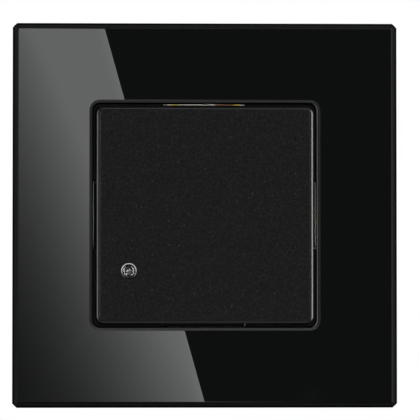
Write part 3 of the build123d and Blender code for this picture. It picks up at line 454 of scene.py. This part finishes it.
# From the back: a base flange, a straight tube, the lip as part of a circle, and the well inside it.
LIP_MIDDLE, LIP_ROUND = (1.50, 10.56), 0.115
around = np.radians(np.linspace(-50, 230, 15))
body_profile = [
    (0.0, 5.6), (1.72, 5.6), (1.8, 5.68), (1.8, 6.52), (1.72, 6.6), (1.54, 6.63), (1.5, 6.7), (1.5, 10.4),
    *zip(LIP_MIDDLE[0] + LIP_ROUND * np.cos(around), LIP_MIDDLE[1] + LIP_ROUND * np.sin(around)),
    (1.30, 10.42), (1.20, 10.34), (1.10, 10.20), (0.80, 9.95), (0.0, 9.90),
]
smoked = Finish("smoked_resin", {"Base Color": (0.010, 0.010, 0.011, 1), "IOR": 1.53})
smoked_resin = smoked.wear(Roughness=smoked.between(smoked.cloud(0.2, 2.0), 0.10, 0.18))
sensor_body = surface("sensor_body", turned(body_profile, SENSOR, TURNED_STEPS))
place(sensor_body, smoked_resin, "root", "clear_resin", "daylight_sensor")
# The moulded lip is frosted, with painted shade: its colour darkens towards its lower side. It lies between two rows
# of the profile.
LIP_FIRST, LIP_LAST = 9, 22
frosted = Finish("lip_frost_and_painted_shade", {"IOR": 1.53})
height = frosted.add("SeparateXYZ", {"Vector": frosted.place}).outputs["Z"]
# Painted shade: the lip's colour runs from near black at its foot to pale at its top.
lip_frost_and_painted_shade = frosted.wear(
    Base_Color=frosted.tones(
        frosted.between(height, 0.0, 1.0, (SENSOR[1] - 1.25) * MM, (SENSOR[1] + 0.6) * MM),
        (0.0, (0.012, 0.012, 0.012)), (0.5, (0.26, 0.26, 0.26)), (1.0, (0.76, 0.76, 0.76)),
    ),
    Roughness=frosted.between(frosted.cloud(0.15, 2.0), 0.22, 0.34),
)
sensor_body.data.materials.append(lip_frost_and_painted_shade)
lip = np.zeros(len(sensor_body.data.polygons), np.int32)
lip[LIP_FIRST * TURNED_STEPS:LIP_LAST * TURNED_STEPS] = 1
sensor_body.data.polygons.foreach_set("material_index", lip)
# The dome falls away from its top with the cube of the radius: flat in the middle and steep at its rim.
DOME_FOOT, DOME_TOP, DOME_FALL = 10.37, 10.88, 0.38
across = np.linspace(1.16, 0, 18)
dome_profile = [(0.0, DOME_FOOT), (1.12, DOME_FOOT), *zip(across, DOME_TOP - DOME_FALL * (across / 1.2) ** 3)]
resin = Finish("clear_resin", {
    "Base Color": (0.93, 0.95, 0.95, 1), "Transmission Weight": 1.0, "IOR": 1.53, "Roughness": 0.04,
})
clear = resin.wear(Normal=resin.relief(resin.cloud(0.9, 0.0), 0.001))
sensor_dome = surface("sensor_dome", turned(dome_profile, SENSOR, TURNED_STEPS))
place(sensor_dome, clear, "root", "clear_resin")
sensor_dome.visible_shadow = False
chip_pale = moulded("chip_pale", (0.60, 0.60, 0.59), (0.70, 0.70, 0.68), 0.3, 0.1, 0.004)
WELL_FLOOR, CUP_LEVEL, CUP_THICK = 9.94, 10.12, 0.11
under_dome = []
for name, x, z, width, height, thickness, angle in (
    ("sensor_chip", -0.24, 0.03, 0.20, 0.44, 0.16, 0.75), ("bond_post", 0.16, 0.25, 0.17, 0.17, 0.20, 0.3),
    ("bond_wire", 0.0, 0.1, 0.05, 0.42, 0.24, -1.0), ("chip_foot", -0.28, -0.42, 0.12, 0.2, 0.08, -0.4),
):
    bit = pad(name, 0, 0, width, height, WELL_FLOOR, thickness, 0.04, chip_pale, "root", "chip_black")
    there = Matrix.Translation(Vector((SENSOR[0] + x, 0, SENSOR[1] + z)) * MM)
    bit.data.transform(there @ Matrix.Rotation(angle, 4, "Y"))
    under_dome.append(bit)
# The chip's cup is a pale ring in two parts: round bars bent along a circle and thinner towards their ends.
for name, x, z, radius, start, stop in (
    ("cup_left", -0.08, -0.10, 0.85, 118, 246), ("cup_right", 0.02, 0.03, 0.76, -68, 82),
):
    along = np.linspace(0, 1, 28)[:, None]
    round_bar = np.linspace(0, 2 * np.pi, 12, endpoint=False)
    thick = CUP_THICK * np.sqrt(1.02 - (2 * along - 1) ** 6)
    bend = np.radians(start + (stop - start) * along)
    out = radius + thick * np.cos(round_bar)
    bar = np.stack([
        SENSOR[0] + x + out * np.cos(bend),
        -CUP_LEVEL - thick * np.sin(round_bar),
        SENSOR[1] + z + out * np.sin(bend),
    ], axis=-1)
    under_dome.append(place(surface(name, bar), chip_pale, "root", "chip_black"))
LEG_ASIDE, LEG_SIDE, LEG_END, LEG_LENGTH = 0.8, 0.5, -1.6, 7.3
for number, side in enumerate((-1, 1), start=1):
    pad(
        f"sensor_leg_{number}", SENSOR[0] + side * LEG_ASIDE, SENSOR[1], LEG_SIDE, LEG_SIDE,
        LEG_END, LEG_LENGTH, 0.05, tin, "root", "tinplate",
    )

# Sensor cover
# The square plate in the middle: black moulded plastic with a fine matt grain, and single grains painted
# pale as glints, which are painted highlights. Its face turns over a small radius into a skirt, and four lugs inside
# catch on the module.
def boundary(half, radius, middle, directions):
    """Where rays from middle, one in each direction, meet a rounded square of that half side and radius.
    The distance is halved in on where the point's distance from the square changes sign."""
    near, far = np.zeros(len(directions)), np.full(len(directions), 4.0 * half)
    for _ in range(40):
        reach = (near + far) / 2
        point = middle + reach[:, None] * directions
        outside = np.abs(point) - (half - radius)
        away = np.linalg.norm(np.maximum(outside, 0), axis=1) + np.minimum(outside.max(axis=1), 0) - radius
        near, far = np.where(away < 0, reach, near), np.where(away < 0, far, reach)
    return middle + near[:, None] * directions


def seen_corners(half, radius, middle, steps):
    """The directions from middle to points round each corner of a rounded square."""
    corner = np.repeat(np.arange(4), steps + 1)
    angle = corner * np.pi / 2 + np.tile(np.linspace(0, np.pi / 2, steps + 1), 4)
    side = np.array([(1, 1), (-1, 1), (-1, -1), (1, -1)])[corner]
    point = side * (half - radius) + radius * np.column_stack([np.cos(angle), np.sin(angle)])
    return np.arctan2(*(point - middle).T[::-1])


COVER_HALF, COVER_RADIUS, COVER_FRONT, COVER_BACK = 22.6, 1.6, 10.6, 2.9
COVER_ROUNDING, EDGE_PROUD = 0.7, 0.012
middle = np.array(SENSOR)
directions = np.sort(np.concatenate([
    np.linspace(-np.pi, np.pi, 96, endpoint=False), seen_corners(COVER_HALF, COVER_RADIUS, middle, 10),
]))
directions = np.column_stack([np.cos(directions), np.sin(directions)])


def square_rings(rings):
    """Rings of (half side, distance before the wall) made rows of points, with corners concentric to the cover's."""
    radii = [max(COVER_RADIUS + half - COVER_HALF, 0.5) for half, _ in rings]
    return [(boundary(half, radius, middle, directions), before) for (half, before), radius in zip(rings, radii)]


def stood(rows):
    """Rows of flat points (x, z), each with its distance before the wall, made one grid of points in space."""
    return np.stack([np.insert(flat, 1, -before, axis=1) for flat, before in rows])


def rounding(radius, angles):
    """The cover's rounding as rings: a circle of that radius round the middle of the rounding, at the angles."""
    return [(COVER_HALF - COVER_ROUNDING + radius * np.cos(a), COVER_FRONT - COVER_ROUNDING + radius * np.sin(a))
            for a in angles]


# The shell goes over the outside, down the hole for the sensor and back along the inside.
outside_rings = [(COVER_HALF - 0.12, COVER_BACK), (COVER_HALF, COVER_BACK + 0.12)]
outside_rings += rounding(COVER_ROUNDING, np.linspace(0, np.pi / 2, 9))
hole_rings = [
    (1.77, COVER_FRONT), (1.70, COVER_FRONT - 0.03), (1.67, COVER_FRONT - 0.1), (1.67, 8.85), (1.72, 8.8),
]
inside_rings = [(21.25, 8.8), (21.4, 8.65), (21.4, COVER_BACK + 0.1), (21.5, COVER_BACK)]
hole_rows = [(middle + radius * directions, before) for radius, before in hole_rings]
shell = stood(square_rings(outside_rings) + hole_rows + square_rings(inside_rings))
matt = Finish("black_cover", {"Specular IOR Level": 0.14})
grain = matt.cloud(0.42, 1.5)
# Painted highlights: scattered specks lift the base colour as glints.
painted_glint = matt.specks(1.1, 0.16, 0.13)
matt_black = matt.wear(
    Base_Color=matt.tones(
        matt.maths("ADD", grain, painted_glint),
        (0.34, (0.0108, 0.0110, 0.0111)), (0.68, (0.0238, 0.0241, 0.0244)), (1.0, (0.082, 0.082, 0.082)),
    ),
    Roughness=matt.between(grain, 0.36, 0.48),
    Normal=matt.relief(grain, 0.012),
)
place(surface("cover_shell", shell, ring=True), matt_black, "cover", "black_cover", "sensor_cover")
rubbed_black = moulded(
    "rubbed_cover_edge", (0.005, 0.005, 0.005), (0.007, 0.007, 0.007), 0.33, 0.8, 0.002,
    {"Specular IOR Level": 0.8},
)
# The rubbed edge lies over the rounding as a bead a little proud of it, and dips under at both ends.
bead = stood(square_rings(rounding(COVER_ROUNDING + EDGE_PROUD, np.radians(np.linspace(-14, 104, 15)))))
cover_edge = place(surface("cover_edge", bead, ring=True), rubbed_black, "cover", "black_cover")
for number, (x, z, width, height) in enumerate((
    (0, 21.15, 7, 0.75), (0, -21.15, 7, 0.75), (21.15, 0, 0.75, 7), (-21.15, 0, 0.75, 7),
), start=1):
    pad(f"cover_lug_{number}", x, z, width, height, 3.5, 0.6, 0.08, matt_black, "cover", "black_cover")

# Frame carrier
# Black moulded plastic behind the glass, with a skirt that reaches almost to the wall, four latches
# that snap into the mounting plate's folded rim and two notches for prising the frame off.
carrier_black = moulded(
    "carrier_black", (0.0095, 0.0095, 0.010), (0.013, 0.013, 0.0135), 0.42, 0.18, 0.01,
    {"Specular IOR Level": 0.3},
)
eased("frame_carrier", 0.18, carrier_black)

# Adhesive tape
# A ring of black foam tape, 0.4 mm thick, that bonds the glass to its carrier.
foam = moulded("foam_tape", (0.010, 0.010, 0.010), (0.016, 0.016, 0.016), 0.85, 0.1, 0.05)
frame["nodes"]["glass_tape"].data.materials[0] = foam

# Glass frame
# One pane of 4 mm float glass, painted black on its back. The front edges are bevelled and polished
# and the rim is ground, so the bevel shows as a grey band inside a dull black line.
GLASS_HALF, OPENING_HALF = 40.0, 23.3
POLISHED, GROUND, SATIN, SATIN_INSIDE, BRIGHT, ARRIS = range(6)
# Half side, distance before the wall and finish, from the rim's back round the front to the opening's back.
pane_rings = [
    (39.75, 6.0, GROUND), (40.0, 6.25, GROUND), (40.0, 9.05, GROUND), (39.94, 9.18, GROUND), (39.80, 9.32, GROUND),
    (39.60, 9.48, SATIN), (39.08, 9.84, POLISHED), (39.02, 9.88, BRIGHT), (38.99, 9.895, POLISHED),
    (38.93, 9.965, POLISHED), (38.83, 9.99, POLISHED), (38.72, 10.0, POLISHED), (24.02, 10.0, POLISHED),
    (23.96, 9.99, SATIN_INSIDE), (23.90, 9.965, SATIN_INSIDE), (23.44, 9.66, ARRIS), (23.36, 9.56, ARRIS),
    (23.30, 9.40, GROUND), (23.30, 6.12, GROUND), (23.42, 6.0, GROUND),
]
rings = [(half, half, max(0.95 + half - GLASS_HALF, 0.2), before, 0.8) if half > 30 else
         (half, half, 1.5 + half - OPENING_HALF, before, 0.0) for half, before, _ in pane_rings]
glass = Finish("black_glass", {"Base Color": (0.0097, 0.0112, 0.0104, 1), "IOR": 1.52})
black_glass = glass.wear(Roughness=glass.between(glass.cloud(9.0, 3.0), 0.0, 0.006))
ground_edge = moulded(
    "ground_edge", (0.0020, 0.0022, 0.0020), (0.0030, 0.0032, 0.0030), 0.5, 0.08, 0.01,
    {"Specular IOR Level": 0.0},
)


def satin(name, dark, light, paler=1.0):
    """Finely ground glass: grey by itself, with a soft frost and hardly any mirror. Its top and foot, where z
    is farther from the middle than x, are that many times paler than its sides: painted light."""
    bevel = Finish(name, {"IOR": 1.52, "Specular IOR Level": 0.07})
    frost = bevel.cloud(0.3, 3.0)
    spot = bevel.add("SeparateXYZ", {"Vector": bevel.place})
    from_middle = [bevel.maths("ABSOLUTE", spot.outputs[axis], 0.0) for axis in "ZX"]
    # Painted light: the top and foot of the bevel are made paler than its sides.
    painted_light_top_foot = bevel.between(bevel.maths("SUBTRACT", *from_middle), 0.0, 0.5, -1.2 * MM, 1.2 * MM)
    amount = bevel.maths("ADD", bevel.maths("MULTIPLY", frost, 0.5), painted_light_top_foot)
    stops = [(0.175, dark), (0.325, light)]
    stops += [(position + 0.5, [paler * part for part in colour]) for position, colour in stops]
    return bevel.wear(Base_Color=bevel.tones(amount, *stops), Roughness=bevel.between(frost, 0.42, 0.54))


rubbed = Finish("rubbed_edge", {"Base Color": (0.010, 0.011, 0.010, 1), "Specular IOR Level": 0.15})
rubbed_edge = rubbed.wear(Roughness=rubbed.between(rubbed.specks(0.9, 0.3, 0.35), 0.5, 0.22, 0.0, 1.0))
# The arris at the back of the opening's bevel is painted pale along its right side: a painted highlight.
arris = Finish("arris_painted_highlight", {"IOR": 1.52, "Specular IOR Level": 0.1})
x_of_arris = arris.add("SeparateXYZ", {"Vector": arris.place}).outputs["X"]
painted_highlight_right = arris.between(x_of_arris, 0.0, 1.0, (OPENING_HALF - 1.0) * MM, (OPENING_HALF - 0.1) * MM)
arris_painted_highlight = arris.wear(
    Base_Color=arris.tones(painted_highlight_right, (0.0, (0.0025, 0.0027, 0.0025)), (1.0, (0.43, 0.44, 0.43))),
    Roughness=arris.between(arris.cloud(0.4, 2.0), 0.40, 0.50),
)
pane = surface("glass_pane", rounded_rings(rings, steps=8), ring=True)
place(pane, black_glass, "frame", "black_glass", "glass_frame")
# The opening's bevel is the same ground glass as the outer one, painted paler to make up for the cover's shade on
# it, and paler again at its top and foot: painted light.
for material in (
    ground_edge, satin("satin_bevel", (0.0135, 0.0142, 0.0138), (0.0225, 0.0235, 0.0228)),
    satin("satin_opening_painted_light", (0.036, 0.037, 0.036), (0.050, 0.051, 0.050), 1.9), rubbed_edge, arris_painted_highlight,
):
    pane.data.materials.append(material)
bands = np.array([band for _, _, band in pane_rings], np.int32)
pane.data.polygons.foreach_set("material_index", np.repeat(bands, len(pane.data.polygons) // len(bands)))

# Studio
# A pale floor below, white all round for the camera and for what glass and metal mirror, soft lamps,
# a black flag behind the camera and graded cards, of which one crosses the glass as a diagonal.
CAMERA_AZIMUTH, CAMERA_ELEVATION, CAMERA_DISTANCE = -1.5, -1.7, 0.62
IMAGE_SIDE, OBJECT_PIXELS, LEFT_PIXELS, DOWN_PIXELS = 420, 385, 5.0, 5.1
azimuth, elevation = np.radians(CAMERA_AZIMUTH), np.radians(CAMERA_ELEVATION)
back = Vector((np.sin(azimuth) * np.cos(elevation), -np.cos(azimuth) * np.cos(elevation), np.sin(elevation)))
glass_front = Vector((0, -10 * MM, 0))
camera_data = bpy.data.cameras.new("camera")
camera = bpy.data.objects.new("camera", camera_data)
bpy.context.scene.collection.objects.link(camera)
camera.location = glass_front + back * CAMERA_DISTANCE
camera.rotation_euler = back.to_track_quat("Z", "Y").to_euler()
camera_data.sensor_width = 36
camera_data.lens = 36 * CAMERA_DISTANCE * OBJECT_PIXELS / IMAGE_SIDE / (2 * GLASS_HALF * MM)
camera_data.shift_x = LEFT_PIXELS / IMAGE_SIDE
camera_data.shift_y = DOWN_PIXELS / IMAGE_SIDE
camera_data.clip_start = 0.01
bpy.context.scene.camera = camera


def studio_sheet(name, corners, material, mirrored_only=True, faces=None):
    """A sheet that isn't part of the object: one flat face, or faces between its points. Most show only where
    they are mirrored."""
    mesh = bpy.data.meshes.new(name)
    mesh.from_pydata(corners, [], faces or [list(range(len(corners)))])
    mesh.materials.append(material)
    sheet = bpy.data.objects.new(name, mesh)
    bpy.context.scene.collection.objects.link(sheet)
    if mirrored_only:
        sheet.visible_camera = sheet.visible_diffuse = sheet.visible_shadow = sheet.visible_transmission = False
    return sheet


def glow(name, strength):
    """A material that only gives off light of that strength."""
    shine = Finish(name, {"Base Color": (0, 0, 0, 1), "Specular IOR Level": 0.0, "Roughness": 1.0})
    return shine.wear(Emission_Color=(1, 1, 1, 1), Emission_Strength=strength)


# The floor turns from its own shade into the white of the background towards its rim.
FLOOR_LEVEL, FLOOR_REACH = -1.3, 4.0
pale = Finish("pale_floor", {"Base Color": (0.82, 0.82, 0.81, 1), "Roughness": 0.8, "Specular IOR Level": 0.1,
                             "Emission Color": (1, 1, 1, 1)})
out = pale.add("VectorMath", {0: pale.place}, operation="LENGTH").outputs["Value"]
fade = pale.between(out, 0.0, 1.0, 0.6, 2.6)
floor_white = pale.wear(
    Base_Color=pale.tones(fade, (0.0, (0.82, 0.82, 0.81)), (1.0, (0.0, 0.0, 0.0))),
    Emission_Strength=pale.maths("MULTIPLY", fade, pale.add("LightPath").outputs["Is Camera Ray"]),
)
turn = np.linspace(0, 2 * np.pi, 64, endpoint=False)
rim = [(FLOOR_REACH * c, FLOOR_REACH * s, FLOOR_LEVEL) for c, s in zip(np.cos(turn), np.sin(turn))]
studio_sheet("floor", rim, floor_white, mirrored_only=False).visible_glossy = False
# The flag hangs behind the camera, with a wing above and one below that reach past the object.
FLAG_SIDE, FLAG_HEIGHT, FLAG_NEAR, FLAG_FAR = 3, 2.2, -1.5, 1.0
flag_black = glow("flag_black", 0.0)
ends = ((-FLAG_SIDE, -FLAG_HEIGHT), (FLAG_SIDE, -FLAG_HEIGHT), (FLAG_SIDE, FLAG_HEIGHT), (-FLAG_SIDE, FLAG_HEIGHT))
studio_sheet("black_flag", [(x, FLAG_NEAR, z) for x, z in ends], flag_black)
wing = ((-FLAG_SIDE, FLAG_NEAR), (FLAG_SIDE, FLAG_NEAR), (FLAG_SIDE, FLAG_FAR), (-FLAG_SIDE, FLAG_FAR))
for name, height in (("flag_top", FLAG_HEIGHT), ("flag_foot", -FLAG_HEIGHT)):
    studio_sheet(name, [(x, y, height) for x, y in wing], flag_black)


def lit_only(light, *pieces):
    """Lets a card, strip or lamp light these pieces and nothing else, as flags round it would."""
    group = bpy.data.collections.new(light.name + "_lit")
    for piece in pieces:
        group.objects.link(piece)
    light.light_linking.receiver_collection = group


# A tall strip at each side draws the arcs in the sensor's dome.
for name, near, far, strength in (
    ("strip_right", (0.95, -0.80), (1.22, -0.40), 7.0), ("strip_left", (-1.13, -0.65), (-1.29, -0.16), 8.0),
):
    strip = studio_sheet(name, [(*near, -2.0), (*far, -2.0), (*far, 2.0), (*near, 2.0)], glow(name, strength))
    lit_only(strip, sensor_dome, sensor_body, *under_dome)


def graded_card(name, points, radiance, *pieces):
    """A curved or flat sheet of points whose own light is given at each point. Only the pieces mirror it."""
    index = np.arange(radiance.size).reshape(radiance.shape)
    quads = np.stack([index[:-1, :-1], index[:-1, 1:], index[1:, 1:], index[1:, :-1]], axis=-1).reshape(-1, 4)
    graded = Finish(name, {
        "Base Color": (0, 0, 0, 1), "Specular IOR Level": 0.0, "Roughness": 1.0,
        "Emission Color": (0.97, 1.0, 0.985, 1),
    })
    shine = graded.wear(Emission_Strength=graded.add("Attribute", attribute_name="radiance").outputs["Fac"])
    card = studio_sheet(name, points.reshape(-1, 3).tolist(), shine, faces=quads.tolist())
    shade = card.data.attributes.new("radiance", "FLOAT", "POINT")
    shade.data.foreach_set("value", radiance.ravel().astype(np.float32))
    lit_only(card, *pieces)


# The card is laid out on the glass first, where its reflection is seen: rows run along the diagonal
# edge and columns away from it. A point P of the glass mirrors the point 2P - C beside the camera C.
edge_top, edge_foot = np.array([-20.8, 39.1]), np.array([-0.1, -39.3])
along = edge_foot - edge_top
aside = np.array([along[1], -along[0]]) / np.linalg.norm(along)
down, out = np.meshgrid(np.linspace(-1.2, 2.2, 120), 170 * np.linspace(0, 1, 90) ** 1.6, indexing="ij")
on_glass = edge_top + down[..., None] * along + out[..., None] * aside
# Its light is even near the upper right. To the lower left it falls with what a level, which slopes evenly
# over the glass, is short of its full value. Along the diagonal edge it is a little brighter.
CARD_LIGHT, EDGE_MORE, EDGE_WIDTH = 2.86, 0.12, 1.2
MIDDLE_LEVEL, LEVEL_PER_X, LEVEL_PER_Z, FULL_LEVEL = 143.96, 4.449, 2.011, 63
FADE, FADE_MORE = 0.01154, 5.3e-5
level = MIDDLE_LEVEL + LEVEL_PER_X * on_glass[..., 0] + LEVEL_PER_Z * on_glass[..., 1]
short = np.maximum(FULL_LEVEL - level, 0)
radiance = CARD_LIGHT * np.exp(-(FADE * short + FADE_MORE * short ** 2))
radiance *= 1 + EDGE_MORE * np.exp(-((out / EDGE_WIDTH) ** 2))
card_points = np.stack([
    2 * on_glass[..., 0] * MM - camera.location.x,
    np.full(out.shape, camera.location.y),
    2 * on_glass[..., 1] * MM - camera.location.z,
], axis=-1)
# Bare metal mirrors the cards too: all but the mounting plate this one, and all of it the others.
metals = [piece for piece in bpy.context.scene.objects if piece.type == "MESH"
          and any(held.material in (steel, tin, screw_zinc, brass) for held in piece.material_slots)]
small_metals = [piece for piece in metals if piece.material_slots[0].material != steel]
graded_card("card_front", card_points, radiance, pane, *small_metals)

# From further round, the glass mirrors cards at the other side, with a slant too and fading outwards.
SIDE_LIGHT, SIDE_SLANT, SIDE_NEAR = 1.4, 0.14, -1.4
for name, side, start, reach, fading in (
    ("card_left", -1, 1.06, 2.2, 1.7), ("card_near_right", 1, 0.60, 0.58, 2.6), ("card_right", 1, 1.22, 2.2, 1.7),
):
    rise, width = np.meshgrid(np.linspace(-1.3, 1.3, 40), np.linspace(0, reach, 80), indexing="ij")
    side_x = side * (start + width) - SIDE_SLANT * rise
    side_points = np.stack([side_x, np.full(rise.shape, SIDE_NEAR), rise], axis=-1)
    fall = np.exp(-fading * width) * np.exp(-0.4 * np.abs(rise))
    graded_card(name, side_points, SIDE_LIGHT * fall, pane, *metals)

# Past those cards bare metal mirrors a pale one in place of the flag, dark in its middle behind the camera.
METAL_LIGHT, METAL_NEAR, DARK_RADIUS, DARK_FADE = 0.7, -1.45, 0.3, 0.4
rise, across = np.meshgrid(np.linspace(-2.1, 2.1, 60), np.linspace(-2.9, 2.9, 80), indexing="ij")
pale_points = np.stack([across, np.full(rise.shape, METAL_NEAR), rise], axis=-1)
fall = np.clip((np.hypot(across, rise) - DARK_RADIUS) / DARK_FADE, 0, 1) ** 2
graded_card("card_metal", pale_points, METAL_LIGHT * fall, *metals)


def lamp(name, direction, distance, width, height, power, only=(), spared=()):
    """A soft rectangular lamp at distance along direction, facing the object. It lights only the given pieces,
    or all but the spared ones."""
    light = bpy.data.lights.new(name, "AREA")
    light.shape = "RECTANGLE"
    light.size, light.size_y, light.energy = width, height, power
    holder = bpy.data.objects.new(name, light)
    bpy.context.scene.collection.objects.link(holder)
    direction = Vector(direction).normalized()
    holder.location = direction * distance
    holder.rotation_euler = direction.to_track_quat("Z", "Y").to_euler()
    if only or spared:
        lit_only(holder, *only, *spared)
        for held in holder.light_linking.receiver_collection.collection_objects:
            held.light_linking.link_state = "EXCLUDE" if spared else "INCLUDE"


lamp("right_lamp", (0.975, -0.2, 0.1), 1.0, 0.3, 0.8, 2.5, spared=(pane, cover_edge))
lamp("left_lamp", (-0.975, -0.2, 0.1), 1.0, 0.3, 0.8, 2.0, spared=(pane, cover_edge))
# The edge lamps draw the bright lines along the cover's rubbed edge and light nothing else.
lamp("edge_lamp_right", (0.92, -0.39, 0.05), 1.0, 0.45, 0.9, 11.0, only=(cover_edge,))
lamp("edge_lamp_left", (-0.92, -0.39, 0.05), 1.0, 0.45, 0.9, 4.0, only=(cover_edge,))
lamp("edge_lamp_foot", (-0.1, -0.6, -0.8), 1.0, 0.9, 0.45, 0.8, only=(cover_edge,))
lamp("top_lamp", (0.15, -0.72, 0.65), 1.0, 1.1, 0.15, 1.1)
# Two small lamps behind the flag shine into the gap round the cover, on the tabs but not past them.
for name, side in (("low_lamp_right", 1), ("low_lamp_left", -1)):
    lamp(name, (side * 0.061, -1.0, -0.061), 2.2, 0.066, 0.066, 0.73, spared=(cover_edge,))
lamp("back_lamp", (0.3, 0.9, 0.6), 1.2, 0.8, 0.8, 3.5)

world = bpy.data.worlds.new("studio")
world.use_nodes = True
bpy.context.scene.world = world
nodes, links = world.node_tree.nodes, world.node_tree.links
path = nodes.new("ShaderNodeLightPath")
seen = nodes.new("ShaderNodeMath")
seen.operation = "MAXIMUM"
links.new(path.outputs["Is Camera Ray"], seen.inputs[0])
links.new(path.outputs["Is Glossy Ray"], seen.inputs[1])
through = nodes.new("ShaderNodeMath")
through.operation = "MAXIMUM"
links.new(seen.outputs[0], through.inputs[0])
links.new(path.outputs["Is Transmission Ray"], through.inputs[1])
strength = nodes.new("ShaderNodeMapRange")
strength.inputs["To Min"].default_value = 0.5
strength.inputs["To Max"].default_value = 1.0
links.new(through.outputs[0], strength.inputs["Value"])
nodes["Background"].inputs["Color"].default_value = (1, 1, 1, 1)
links.new(strength.outputs["Result"], nodes["Background"].inputs["Strength"])
bpy.context.scene.view_settings.view_transform = "Standard"
